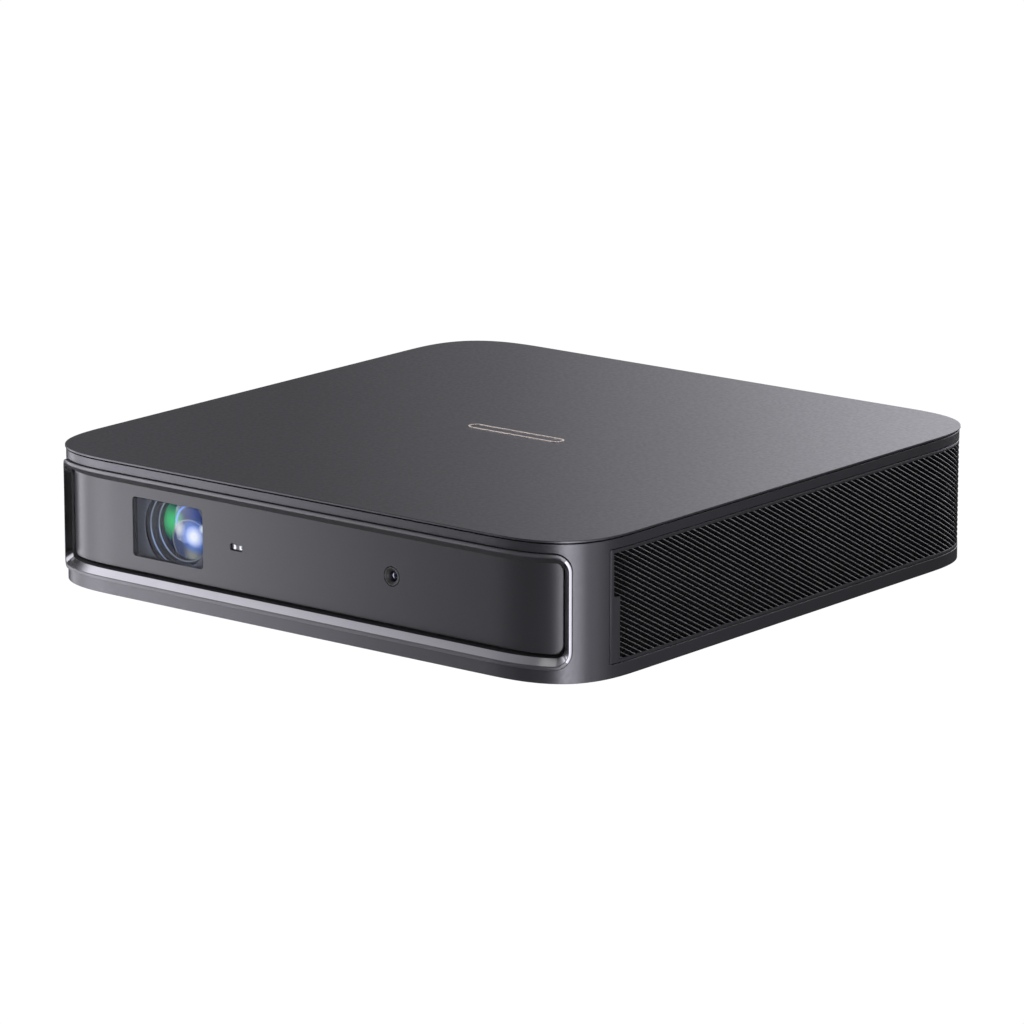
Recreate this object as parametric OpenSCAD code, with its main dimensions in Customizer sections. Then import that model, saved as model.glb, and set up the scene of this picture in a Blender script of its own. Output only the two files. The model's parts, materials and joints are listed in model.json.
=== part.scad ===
// Slim square home projector: laser light engine, lens behind a front window, side vents and rear ports.
// Millimetres, +Z up, the lens looks along -Y, origin on the table under the middle of the body.

/* [Body] */
// Width of the body along X
body_w = 195; // [180:1:240]
// Depth of the body along Y
body_d = 195; // [180:1:240]
// Height of the visible shell, without plinth and feet
shell_h = 39.3; // [38:0.1:50]
// Size of the rounded corner
corner_r = 30.7; // [22:0.1:38]
// Fullness of the corner, 2 is a plain arc and more is squarer
corner_p = 3; // [2:0.1:4]
// Wall of the side frame
frame_t = 2; // [1.5:0.1:2.6]
// How far the top cover overhangs the side frame
plate_lip = 0.25; // [0.1:0.05:0.8]
// Visible edge of the top cover
cover_edge = 0.6; // [0.4:0.1:1.2]
// Dark gap between the top cover and the side frame
shadow_gap = 0.35; // [0.2:0.05:0.8]
// Thickness of the part of the top cover that sits inside the frame
cover_t = 1.4; // [1:0.1:1.8]
// Thickness of the base plate
base_t = 2; // [1.5:0.1:2.6]
// How far the base plate sits above the frame's lower edge
base_recess = 0.3; // [0.1:0.1:0.8]
// Height of the frame below the openings
rail_low = 3.8; // [3:0.1:6]
// Height of the frame above the front opening
rail_high = 3.5; // [3:0.1:6]
// Fixing clearance between two pieces that are fitted once
fit_gap = 0.1; // [0.05:0.05:0.2]
// Running clearance of a shaft in its bore, on the radius
run_gap = 0.05; // [0.02:0.01:0.1]

/* [Plinth and feet] */
// Height of the plinth under the shell
plinth_h = 6.7; // [4:0.1:10]
// Inset of the plinth from the body's edge
plinth_inset = 27; // [24:1:34]
// Size of the plinth's rounded corner
plinth_r = 3.7; // [3:0.1:8]
// Wall and floor of the plinth
plinth_t = 2; // [1.5:0.1:2.6]
// Height of a rubber foot below the plinth
foot_h = 1.5; // [1:0.1:3]
// Depth of the pocket that holds a foot
foot_seat = 0.6; // [0.4:0.1:1]
// Radius of a rubber foot
foot_r = 8; // [6:0.5:10]
// Distance of a foot's centre from the plinth's edge
foot_edge = 15; // [12:0.5:20]
// Radius of the tripod thread's crests
tripod_r = 2.55; // [2.4:0.05:2.7]
// Outer radius of the tripod insert
insert_r = 4.5; // [4:0.1:6]
// Length of the tripod insert
insert_h = 7; // [5:0.5:9]
// Length of an intake slot in the plinth
intake_l = 30; // [20:1:36]
// Width of an intake slot
intake_w = 2; // [1.5:0.1:3]
// Distance between intake slots
intake_pitch = 5.2; // [4:0.1:6]
// Distance from the plinth's edge to the first intake slot
intake_edge = 8; // [6:0.5:10]
// Number of intake slots on each side of the plinth
intake_count = 5; // [3:1:6]

/* [Front trim and panel] */
// Distance from the body's side to the end of the front opening, seen from the front
front_margin = 5.2; // [4:0.1:9]
// Corner radius of the front opening
opening_r = 4.5; // [3:0.1:6]
// Width of the trim, from the opening's edge inwards
trim_w = 2.6; // [2:0.1:3.4]
// How far the trim stands proud of the side frame
trim_proud = 0.75; // [0.4:0.05:1]
// How far the front panel sits behind the side frame's face
panel_recess = 3; // [2:0.1:4]
// Thickness of the front panel
panel_t = 1.6; // [1.2:0.1:2]
// Gap between the front panel and the trim at the sides
panel_side_gap = 0.4; // [0.2:0.1:1]
// Gap under the front panel
panel_low_gap = 1.1; // [0.4:0.1:2]
// Corner radius of the front panel
panel_r = 3; // [2:0.1:4]

/* [Window and sensors] */
// Place of the lens axis along X
lens_x = -49.4; // [-52:0.1:-46]
// Height of the lens axis above the front opening's middle
lens_lift = 0.6; // [0:0.1:1]
// Width of the lens window
window_w = 26; // [24:0.5:30]
// Height of the lens window
window_h = 16.8; // [15:0.1:20]
// Place of the range sensor along X
range_x = -23.7; // [-26:0.1:-20]
// Width of the range sensor's cover
range_w = 4.4; // [4:0.1:6]
// Height of the range sensor's cover
range_h = 1.8; // [1.6:0.1:3]
// Place of the alignment camera along X
camera_x = 32.6; // [28:0.1:40]
// Height of the camera's axis above the front opening's middle
camera_lift = 1.1; // [0:0.1:2]
// Height of the range sensor above the front opening's middle
range_lift = 0.3; // [0:0.1:2]
// Radius of the camera's bezel
camera_r = 2.65; // [2.2:0.05:4]
// Radius of the camera's lens
camera_lens_r = 1.5; // [1:0.1:1.8]

/* [Vents and rear] */
// Start of a side vent, from the body's middle towards the front
vent_front = 80; // [70:1:82]
// Height of the frame above a side vent, under the shadow gap
vent_rail = 2.8; // [2:0.1:4]
// Half width of the rear panel's opening
rear_half = 60.5; // [56:0.5:62]
// Width of the post between rear panel and vent
rear_post = 3; // [2:0.5:5]
// Gap round a vent and the rear panel
seam_gap = 0.15; // [0.1:0.05:0.3]
// Thickness of a vent's skin
vent_t = 1.3; // [1:0.1:1.6]
// Width of a vent slot
slot_w = 1.6; // [1:0.1:2]
// Distance between vent slots
slot_pitch = 4.5; // [3.5:0.5:8]
// Plain border above and below the vent slots
slot_border = 1.8; // [1.5:0.1:4]

/* [Rear ports] */
// Radius of the power button
button_r = 4.9; // [4:0.1:6]
// Travel of the power button
button_travel = 0.8; // [0.4:0.1:1]
// Place of the power button along X
button_x = -46; // [-50:1:-42]
// Height of the power button above the main board
button_lift = 13.4; // [11:0.1:15]
// Radius of the status light
light_r = 1.2; // [0.8:0.1:2]
// Distance of the status light from the power button
light_offset = 12; // [10:1:16]
// Place of the direct-current inlet along X
power_x = -27; // [-30:1:-24]
// Height of the inlet's axis above the main board
power_lift = 5; // [4.6:0.1:6]
// Radius of the inlet's nose
power_nose_r = 4.2; // [4:0.1:4.6]
// Radius of the inlet's bore
power_bore_r = 2.8; // [2.5:0.05:3.2]
// Radius of the inlet's pin
power_pin_r = 1.25; // [0.8:0.05:1.3]
// Place of the video port along X
video_x = -6; // [-10:1:-2]
// Width of the video port's shell
video_w = 15; // [14:0.1:16]
// Place of the data port along X
data_x = 16; // [12:1:20]
// Width of the data port's shell
data_w = 13.2; // [12:0.1:14]
// Height of the two ports' shells
port_h = 6; // [5:0.1:7]
// How far the sockets' mouths sit behind the rear panel's face
port_shy = 0.6; // [0.2:0.1:1]
// Gap round a socket's shell in the rear panel
port_gap = 0.3; // [0.2:0.05:0.5]
// Length of a socket on the main board
port_seat = 5; // [4:0.5:7]
// Place of the audio jack along X
audio_x = 34; // [30:1:40]
// Radius of the audio jack's bore
audio_bore_r = 1.775; // [1.7:0.005:1.85]
// Radius of the audio jack's nose
audio_nose_r = 3; // [2.6:0.1:3.4]

/* [Main board] */
// Width of the main board
board_w = 124; // [110:1:128]
// Depth of the main board
board_d = 80; // [70:1:84]
// Thickness of every circuit board
board_t = 1.6; // [1:0.1:2]
// Height of the main board's underside above the shell's lower edge
board_lift = 9.8; // [8:0.1:12]
// Gap between the main board and the rear panel
board_rear_gap = 7.25; // [6:0.25:10]
// Side of the processor
chip_w = 16; // [12:1:20]
// Thickness of the processor
chip_t = 1.6; // [1:0.1:2]
// Width of the heat spreader
spreader_w = 40; // [30:1:50]
// Thickness of the heat spreader
spreader_t = 1.5; // [1:0.1:2]

/* [Blowers] */
// Side of a blower's housing
blower_w = 46; // [40:1:48]
// Distance from a blower's top to the vents' upper edge
blower_drop = 2.5; // [2:0.1:3]
// Height of a blower's housing
blower_h = 16; // [14:0.5:17]
// Wall of a blower's housing
blower_wall = 1.2; // [1:0.1:1.6]
// Radius of a blower's inlet
inlet_r = 16; // [12:0.5:17]
// Radius of a rotor
rotor_r = 19; // [16:0.5:19.5]
// Number of blades on a rotor
blade_count = 17; // [11:1:23]
// Distance of a blower's inner side from the body's middle
blower_x = 28; // [26:1:30]
// Distance of a blower's front side behind the body's middle
blower_y = 10; // [9:1:12]

/* [Laser, wheel and cooling] */
// Width of the laser module along X
laser_w = 32; // [28:1:36]
// Depth of the laser module along Y
laser_d = 34; // [30:1:36]
// Height of the laser module
laser_h = 24; // [20:1:25]
// Thickness of the cold plate
cold_t = 10; // [8:0.5:11]
// Radius of a heat pipe
pipe_r = 2.5; // [2:0.1:3]
// Distance between the two heat pipes
pipe_pitch = 13; // [10:1:15]
// Bend radius of a heat pipe
pipe_bend = 8; // [7:0.5:10]
// Width of the heatsink along X
sink_w = 17; // [14:0.5:18]
// Length of the laser heatsink along Y
sink_l = 48; // [40:1:50]
// Depth of the heatsink below the light's axis
sink_low = 14.5; // [13:0.5:15]
// Height of the heatsink above the light's axis
sink_high = 14; // [13:0.5:15]
// Gap between the heatsink and the vent
sink_gap = 2.7; // [2:0.1:3.5]
// Number of fins on the laser heatsink
fin_count = 20; // [12:1:24]
// Thickness of a fin
fin_t = 0.6; // [0.4:0.1:1]
// Radius of the phosphor wheel
wheel_r = 12.5; // [11.5:0.1:13]
// Thickness of the phosphor wheel
wheel_t = 0.7; // [0.5:0.1:1]
// Distance from the light's axis to the wheel's centre
wheel_offset = 10; // [9.5:0.1:10.5]
// Radius of the wheel's motor
wheel_motor_r = 7.5; // [6:0.1:7.8]
// Radius of the wheel's shaft
wheel_shaft_r = 1; // [0.8:0.1:1.5]
// Width of the wheel's housing along X
wheel_case_w = 20; // [18:0.5:22]
// Wall of the wheel's housing
wheel_wall = 1.5; // [1:0.1:2]
// Space round the wheel in its housing
wheel_gap = 1; // [0.6:0.1:1.5]
// Gap between the wheel's housing and the laser module
laser_gap = 1; // [0.5:0.1:2]
// Distance from the light's axis to the laser module's back
laser_back = 20; // [18:1:22]
// Length of the light tunnel between wheel and engine
tunnel_l = 15; // [12:0.5:18]

/* [Light engine] */
// Distance from the lens axis to the engine housing's left side
engine_left = 24.6; // [23:0.1:26]
// Distance from the lens axis to the engine housing's right side
engine_right = 27.4; // [26:0.1:29]
// Distance from the body's front to the engine housing
engine_place = 57.5; // [56:0.5:60]
// Depth of the engine housing below the light's axis
engine_low = 15.6; // [14:0.1:16]
// Height of the engine housing above the light's axis
engine_high = 12.9; // [12:0.1:13.4]
// Depth of the engine housing along Y
engine_d = 28; // [27:0.5:30]
// Wall of the engine housing
engine_t = 2; // [1.5:0.1:2.4]
// Gap between the prism block and the housing's front wall
prism_gap = 1.5; // [1:0.1:2]
// Side of the prism block
prism_w = 17; // [15:0.5:18]
// Width of the imaging chip's package
imager_w = 22; // [20:0.5:24]
// Height of the imaging chip's package
imager_h = 14; // [12:0.5:16]
// Depth of the imaging chip's heatsink
imager_sink_d = 15.4; // [12:0.1:16]

/* [Projection lens] */
// Outer radius of the lens barrel
barrel_r = 12.6; // [12:0.1:13]
// Distance of the barrel's front behind the front panel
lens_setback = 4.75; // [3:0.25:6]
// Distance from the lens cell's middle to the engine housing
cell_back = 22; // [20:0.5:24]
// Radius of the bore that the lens cell runs in
cell_bore_r = 10.55; // [10:0.05:11]
// Wall of the moving lens cell
cell_t = 1.5; // [1:0.1:2]
// Length of the moving lens cell
cell_l = 16; // [12:0.5:18]
// Travel of the lens cell each way
focus_travel = 1.2; // [0.8:0.1:1.5]
// Turn of the focus ring each way, in degrees
focus_turn = 35; // [25:1:40]
// Radius of the cell's guide pin
guide_r = 0.8; // [0.6:0.05:1]
// Distance from the gears' back to the engine housing
gear_back = 12; // [11:0.5:13]
// Width of the focus gears
gear_w = 4; // [3:0.5:5]
// Length of the focus ring
ring_l = 16; // [14:0.5:18]
// Radius of the pinion's shaft
pinion_shaft_r = 0.75; // [0.6:0.05:1]
// Tooth module of the focus gears
gear_module = 0.5; // [0.4:0.05:0.6]
// Teeth on the focus ring
ring_teeth = 62; // [60:1:64]
// Teeth on the motor's pinion
pinion_teeth = 12; // [10:1:14]
// Radius of the focus motor
focus_motor_r = 4; // [3:0.1:4.5]

/* [Speakers] */
// Distance from the body's front to a speaker box
speaker_place = 28; // [26:1:32]
// Gap between a speaker box and the vent
speaker_gap = 2.4; // [2:0.1:3]
// Depth of a speaker box along X
speaker_t = 17; // [15:0.5:18]
// Length of a speaker box along Y
speaker_l = 52; // [44:1:54]
// Height of a speaker box
speaker_h = 27; // [24:1:28]
// Wall of a speaker box
speaker_wall = 1.6; // [1.2:0.1:2]
// Radius of a speaker cone with its surround
cone_r = 11; // [8:0.5:12]

/* [Hidden] */
$fn = 64;

graphite = [0.2, 0.2, 0.21];
black = [0.07, 0.07, 0.08];
gloss_black = [0.03, 0.03, 0.04];
metal = [0.7, 0.71, 0.73];
copper = [0.72, 0.42, 0.28];
brass = [0.78, 0.62, 0.3];
board_green = [0.05, 0.3, 0.18];
glass_blue = [0.45, 0.6, 0.85, 0.5];
pale_gold = [0.88, 0.82, 0.76];

// Heights of the shell
shell_z = foot_h + plinth_h;
top_z = shell_z + shell_h;
cover_under = top_z - cover_edge - cover_t;
frame_top = top_z - cover_edge - shadow_gap;
open_low = shell_z + rail_low;
open_high = top_z - rail_high;
open_mid = (open_low + open_high) / 2;
vent_high = frame_top - vent_rail;
floor_z = shell_z + base_recess + base_t;
plinth_floor = foot_h + plinth_t;

// Insets from the body's outline
frame_in = plate_lip + frame_t;
panel_in = plate_lip + panel_recess;
trim_lip_in = panel_in + panel_t + fit_gap;
trim_back_in = trim_lip_in + 1;
front_y = -body_d / 2;
rear_y = body_d / 2;
panel_y = front_y + panel_in;
rear_face = rear_y - plate_lip;
rear_inner = rear_y - frame_in;
side_inner = body_w / 2 - vent_t - 0.2;
corner_steps = 14;
reach = body_w;
open_w = body_w - 2 * front_margin;
open_h = open_high - open_low;
front_cut = corner_r;
trim_reach = corner_r / 2;

// Light axis
axis_z = open_mid + lens_lift;
engine_x0 = lens_x - engine_left;
engine_x1 = lens_x + engine_right;
engine_y0 = front_y + engine_place;
engine_y1 = engine_y0 + engine_d;
engine_z0 = axis_z - engine_low;
engine_z1 = axis_z + engine_high;
light_y = engine_y0 + engine_t + prism_gap + prism_w / 2;
imager_board_y = engine_y1;
wheel_x0 = engine_x1 + tunnel_l;
wheel_x1 = wheel_x0 + wheel_case_w;
wheel_y = light_y + wheel_offset;
wheel_room = wheel_r + wheel_gap;
laser_x0 = wheel_x1 + laser_gap;
laser_x1 = laser_x0 + laser_w;
laser_y1 = light_y + laser_back;
laser_y0 = laser_y1 - laser_d;
cold_y1 = laser_y1 + cold_t;
pipe_y = laser_y1 + cold_t / 2;

// Projection lens
lens_y0 = panel_y + lens_setback;
lens_lip = lens_y0 + 2.3;
lens_seat = lens_y0 + 4.9;
barrel_y1 = engine_y0 - 0.3;
cell_y = engine_y0 - cell_back;
ring_in = barrel_r + run_gap;
ring_pitch_r = ring_teeth * gear_module / 2;
pinion_pitch_r = pinion_teeth * gear_module / 2;
gear_distance = ring_pitch_r + pinion_pitch_r;
gear_angle = -45;
pinion_x = lens_x + gear_distance * cos(gear_angle);
pinion_z = axis_z + gear_distance * sin(gear_angle);
gear_y1 = engine_y0 - gear_back;
gear_y0 = gear_y1 - gear_w;
ring_y0 = gear_y1 - ring_l;

// Board, ports and blowers
board_z = shell_z + board_lift;
board_top = board_z + board_t;
board_y1 = rear_inner - board_rear_gap;
board_y0 = board_y1 - board_d;
port_y0 = board_y1 - port_seat;
port_y1 = rear_face - port_shy;
port_z = board_top + port_h / 2;
button_z = board_top + button_lift;
blower_z0 = vent_high - blower_h - blower_drop;
blower_z1 = blower_z0 + blower_h;
blower_cx = blower_x + blower_w / 2;
blower_cy = blower_y + blower_w / 2;
sink_x1 = side_inner - sink_gap;
sink_x0 = sink_x1 - sink_w;
sink_y0 = blower_y;
sink_y1 = blower_y + sink_l;
sink_z0 = axis_z - sink_low;
sink_z1 = axis_z + sink_high;
pipe_x = (sink_x0 + sink_x1) / 2;
speaker_x1 = side_inner - speaker_gap;
speaker_x0 = speaker_x1 - speaker_t;
speaker_y0 = front_y + speaker_place;
speaker_y1 = speaker_y0 + speaker_l;
speaker_cy = (speaker_y0 + speaker_y1) / 2;
speaker_z0 = axis_z - speaker_h / 2 - 0.6;
speaker_z1 = speaker_z0 + speaker_h;
speaker_cz = (speaker_z0 + speaker_z1) / 2;
pillar_in = 19.5;
pillar_x = body_w / 2 - pillar_in;
pillar_y = body_d / 2 - pillar_in;
pillar_r = 3.4;
corner_reach = corner_r * (1 - pow(cos(45), 2 / corner_p));
rib_l = (pillar_in - corner_reach) * sqrt(2) - plate_lip - frame_t / 2;
screw_r = 1.2;
screw_l = 12;
screw_head_r = 2.5;
screw_head_gap = 0.2;
post_r = 2.5;
wide_post_r = 3;
board_hole_in = 5;
board_hole_r = 1.6;
range_r = 0.5;
port_r = 0.8;

// One rounded corner of the outline, from angle 0 to 90 of the given quadrant
function corner_arc(cx, cy, sx, sy, r, flip) = [
    for (i = [0 : corner_steps])
        let (a = 90 * (flip ? corner_steps - i : i) / corner_steps)
        [cx + sx * r * pow(cos(a), 2 / corner_p), cy + sy * r * pow(sin(a), 2 / corner_p)]
];

function outline(inset, r) =
    let (x = body_w / 2 - inset - r, y = body_d / 2 - inset - r)
    concat(
        corner_arc(x, y, 1, 1, r, false),
        corner_arc(-x, y, -1, 1, r, true),
        corner_arc(-x, -y, -1, -1, r, false),
        corner_arc(x, -y, 1, -1, r, true)
    );

// The body's plan, drawn in by an inset, between two heights
module slab(inset, z0, z1, r = undef) {
    translate([0, 0, z0]) linear_extrude(z1 - z0) polygon(outline(inset, is_undef(r) ? corner_r - inset : r));
}

// A wall that follows the body's plan between two insets
module wall(outer_in, inner_in, z0, z1) {
    difference() {
        slab(outer_in, z0, z1);
        slab(inner_in, z0 - 1, z1 + 1);
    }
}

module block(x0, x1, y0, y1, z0, z1) {
    translate([x0, y0, z0]) cube([x1 - x0, y1 - y0, z1 - z0]);
}

// A drawing in X and Z, drawn out along Y
module along_y(y0, y1) {
    translate([0, y1, 0]) rotate([90, 0, 0]) linear_extrude(y1 - y0) children();
}

module rod_x(y, z, r, x0, x1) {
    translate([x0, y, z]) rotate([0, 90, 0]) cylinder(r = r, h = x1 - x0);
}

module rod_y(x, z, r, y0, y1) {
    translate([x, y1, z]) rotate([90, 0, 0]) cylinder(r = r, h = y1 - y0);
}

module rod_z(x, y, r, z0, z1) {
    translate([x, y, z0]) cylinder(r = r, h = z1 - z0);
}

// A rectangle with rounded corners round a centre
module round_rect(cx, cy, w, h, r) {
    translate([cx, cy]) {
        square([w - 2 * r, h], center = true);
        square([w, h - 2 * r], center = true);
        for (sx = [-1, 1], sy = [-1, 1])
            translate([sx * (w / 2 - r), sy * (h / 2 - r)]) circle(r = r);
    }
}

// A turned piece on the lens axis: radius and place along Y
module turned_on_lens() {
    translate([lens_x, 0, axis_z]) rotate([-90, 0, 0]) rotate_extrude() children();
}

// A mirrored copy on the side given: 1 is right, -1 is left
module on_side(side) {
    if (side > 0) children();
    else mirror([1, 0, 0]) children();
}

module at_four(x, y) {
    for (sx = [-1, 1], sy = [-1, 1])
        translate([sx * x, sy * y, 0]) children();
}

function unit(v) = v / norm(v);

// Direction of a route at one of its points
function heading(p, i) =
    i == 0 ? unit(p[1] - p[0])
    : i == len(p) - 1 ? unit(p[i] - p[i - 1])
    : unit(unit(p[i + 1] - p[i]) + unit(p[i] - p[i - 1]));

// A wire swept along a route, with a ring of corners at each point
module wire(p, r) {
    sides = 8;
    count = len(p);
    side_ref = [0.31, 0.2, 0.93];
    rings = [
        for (i = [0 : count - 1])
            let (t = heading(p, i), u = unit(cross(t, side_ref)), v = cross(t, u))
            for (k = [0 : sides - 1])
                p[i] + r * (u * cos(360 * k / sides) + v * sin(360 * k / sides))
    ];
    skin = [
        for (i = [0 : count - 2], k = [0 : sides - 1])
            let (a = i * sides + k, b = i * sides + (k + 1) % sides)
            each [[a, b, b + sides], [a, b + sides, a + sides]]
    ];
    start = [[for (k = [sides - 1 : -1 : 0]) k]];
    end = [[for (k = [0 : sides - 1]) (count - 1) * sides + k]];
    polyhedron(rings, concat(skin, start, end));
}

// Outline of a gear with straight-sided teeth, one tooth on the +X side
module gear_outline(teeth) {
    pitch_r = teeth * gear_module / 2;
    step = 360 / teeth;
    root_r = pitch_r - 1.22 * gear_module;
    tip_r = pitch_r + 0.9 * gear_module;
    polygon([
        for (i = [0 : teeth - 1], corner = [[-0.29, root_r], [-0.12, tip_r], [0.12, tip_r], [0.29, root_r]])
            corner[1] * [cos(step * (i + corner[0])), sin(step * (i + corner[0]))]
    ]);
}

// ---- Outer pieces ----

skirt_t = 1.2;
skirt_h = 1.4;
skirt_notch = 4;

module top_cover() {
    skirt_in = frame_in + fit_gap;
    color(graphite) {
        slab(0, top_z - cover_edge, top_z);
        slab(skirt_in, cover_under, top_z - cover_edge);
        difference() {
            wall(skirt_in, skirt_in + skirt_t, cover_under - skirt_h, cover_under);
            for (place = [[1, 1, 45], [-1, 1, 135], [-1, -1, 225], [1, -1, 315]])
                translate([place[0] * pillar_x, place[1] * pillar_y, 0])
                    rotate([0, 0, place[2]])
                    block(-skirt_notch, pillar_in, -skirt_notch, skirt_notch, cover_under - skirt_h - 1, cover_under);
        }
    }
}

badge_w = 34;
badge_h = 4.6;
badge_t = 0.12;
badge_line = 0.5;

module top_badge() {
    color(pale_gold)
        translate([0, 0, top_z])
        linear_extrude(badge_t)
        difference() {
            round_rect(0, 0, badge_w, badge_h, badge_h / 2 - 0.01);
            round_rect(0, 0, badge_w - 2 * badge_line, badge_h - 2 * badge_line, badge_h / 2 - badge_line - 0.01);
        }
}

module front_opening(margin) {
    round_rect(0, open_mid, open_w - 2 * margin, open_h - 2 * margin, max(opening_r - margin / 2, 1));
}

// A screw pillar with ribs that run out along the diagonal, above and below the openings
module pillar() {
    rib_half = 1.2;
    rib_h = 1.3;
    difference() {
        union() {
            rod_z(0, 0, pillar_r, floor_z + fit_gap, cover_under);
            for (z = [open_low - rib_h - 0.05, open_high + 0.05])
                rotate([0, 0, 45]) block(0, rib_l, -rib_half, rib_half, z, z + rib_h);
        }
        rod_z(0, 0, screw_r, shell_z, shell_z + base_recess + screw_l + 1.7);
    }
}

module side_frame() {
    vent_x = rear_half + rear_post;
    color(graphite) {
        difference() {
            wall(plate_lip, frame_in, shell_z, frame_top);
            along_y(front_y - 5, front_y + front_cut) front_opening(0);
            for (side = [-1, 1])
                on_side(side) block(vent_x, reach, -vent_front, reach, open_low, vent_high);
            block(-rear_half, rear_half, 0, reach, open_low, vent_high);
        }
        for (place = [[1, 1, 0], [-1, 1, 90], [-1, -1, 180], [1, -1, 270]])
            translate([place[0] * pillar_x, place[1] * pillar_y, 0])
                rotate([0, 0, place[2]])
                pillar();
    }
}

// A post of the base cover, from the plinth's floor or from the plate outside it
module post(x, y, r, z1) {
    hollow_x = body_w / 2 - plinth_inset - plinth_t;
    hollow_y = body_d / 2 - plinth_inset - plinth_t;
    rod_z(x, y, r, abs(x) < hollow_x && abs(y) < hollow_y ? plinth_floor : floor_z - 1, z1);
}

module base_cover() {
    plate_z = shell_z + base_recess;
    foot_x = body_w / 2 - plinth_inset - foot_edge;
    foot_y = body_d / 2 - plinth_inset - foot_edge;
    slot_x = body_w / 2 - plinth_inset - intake_edge;
    color(black) {
        difference() {
            union() {
                slab(frame_in + fit_gap, plate_z, floor_z);
                slab(plinth_inset, foot_h, floor_z, plinth_r);
            }
            slab(plinth_inset + plinth_t, plinth_floor, floor_z + 1, plinth_r - plinth_t);
            at_four(foot_x, foot_y) rod_z(0, 0, foot_r, foot_h - 1, foot_h + foot_seat);
            at_four(pillar_x, pillar_y) {
                rod_z(0, 0, screw_r + fit_gap, plate_z - 1, floor_z + 1);
                rod_z(0, 0, screw_head_r + screw_head_gap, plate_z - 1, plate_z + 1);
            }
            rod_z(0, 0, insert_r, foot_h - 1, plinth_floor + 1);
            for (i = [0 : intake_count - 1], side = [-1, 1])
                translate([side * (slot_x - i * intake_pitch), 0, 0])
                    block(-intake_w / 2, intake_w / 2, -intake_l / 2, intake_l / 2, foot_h - 1, plinth_floor + 1);
        }
        difference() {
            rod_z(0, 0, insert_r + 2, plinth_floor, foot_h + insert_h);
            rod_z(0, 0, insert_r, plinth_floor - 1, foot_h + insert_h + 1);
        }
        for (x = [-board_w / 2 + board_hole_in, board_w / 2 - board_hole_in])
            for (y = [board_y0 + board_hole_in, board_y1 - board_hole_in])
                post(x, y, wide_post_r, board_z);
        for (x = [engine_x0 + 6, engine_x1 - 5], y = [engine_y0 + 5, engine_y1 - 4])
            post(x, y, post_r, engine_z0);
        for (x = [laser_x0 + 4, laser_x1 - 4], y = [laser_y0 + 4, laser_y1 - 4])
            post(x, y, post_r, axis_z - laser_h / 2);
        post((wheel_x0 + wheel_x1) / 2, wheel_y, wide_post_r, axis_z - wheel_room - wheel_wall);
        post(pinion_x, gear_y1 + 5, 2, pinion_z - focus_motor_r);
        for (side = [-1, 1], y = [blower_y + 4, blower_y + blower_w - 4])
            on_side(side) post(blower_x + blower_w - 3, y, post_r, blower_z0);
        for (side = [-1, 1], y = [speaker_y0 + 8, speaker_y1 - 8])
            on_side(side) post((speaker_x0 + speaker_x1) / 2, y, post_r, speaker_z0);
        for (y = [sink_y0 + 6, sink_y1 - 6])
            post(pipe_x, y, post_r, sink_z0);
    }
}

module rubber_feet() {
    foot_x = body_w / 2 - plinth_inset - foot_edge;
    foot_y = body_d / 2 - plinth_inset - foot_edge;
    color(black)
        at_four(foot_x, foot_y) {
            rod_z(0, 0, foot_r - fit_gap, 0.4, foot_h + foot_seat);
            cylinder(r1 = foot_r - fit_gap - 0.4, r2 = foot_r - fit_gap, h = 0.4);
        }
}

module tripod_insert() {
    color(brass)
        difference() {
            rod_z(0, 0, insert_r, foot_h, foot_h + insert_h);
            rod_z(0, 0, tripod_r, foot_h - 1, foot_h + insert_h + 1);
        }
}

module vent_grille(side) {
    vent_x = rear_half + rear_post + seam_gap;
    low = open_low + seam_gap;
    high = vent_high - seam_gap;
    slots = floor((vent_front + body_d / 2 - corner_r - 8) / slot_pitch);
    rear_slots = floor((body_w / 2 - corner_r / 2 - vent_x - 4) / slot_pitch);
    color(black)
        on_side(side)
        difference() {
            intersection() {
                wall(0.05, vent_t, low, high);
                block(vent_x, reach, -vent_front + seam_gap, reach, low, high);
            }
            for (i = [0 : slots])
                translate([body_w / 2, -vent_front + 4 + i * slot_pitch, 0])
                    block(-vent_t - 2, 2, -slot_w / 2, slot_w / 2, low + slot_border, high - slot_border);
            for (i = [0 : rear_slots])
                translate([vent_x + 4 + i * slot_pitch, rear_y, 0])
                    block(-slot_w / 2, slot_w / 2, -vent_t - 3, 2, low + slot_border, high - slot_border);
        }
}

module vent_grille_left() {
    vent_grille(-1);
}

module vent_grille_right() {
    vent_grille(1);
}

module rear_panel() {
    half = rear_half - seam_gap;
    color(black)
        difference() {
            block(-half, half, rear_inner, rear_face, open_low + seam_gap, vent_high - seam_gap);
            along_y(rear_inner - 1, rear_face + 1) {
                round_rect(video_x, port_z, video_w + 2 * port_gap, port_h + 2 * port_gap, port_r);
                round_rect(data_x, port_z, data_w + 2 * port_gap, port_h + 2 * port_gap, port_r);
            }
            rod_y(audio_x, port_z, audio_nose_r + fit_gap, rear_inner - 1, rear_face + 1);
            rod_y(power_x, board_top + power_lift, power_nose_r + fit_gap, rear_inner - 1, rear_face + 1);
            rod_y(button_x, button_z, button_r + fit_gap, rear_inner - 1, rear_face + 1);
            rod_y(button_x + light_offset, button_z, light_r + fit_gap, rear_inner - 1, rear_face + 1);
        }
}

// The trim, with a lip behind the front panel that closes the dark gap round it
module front_trim() {
    lip_w = panel_low_gap + 1;
    color(metal)
        for (ring = [[plate_lip - trim_proud, trim_w], [trim_lip_in, trim_w + lip_w]])
            intersection() {
                wall(ring[0], trim_back_in, open_low, open_high);
                along_y(front_y - 5, front_y + trim_reach)
                    difference() {
                        front_opening(fit_gap);
                        front_opening(ring[1]);
                    }
            }
}

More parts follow.
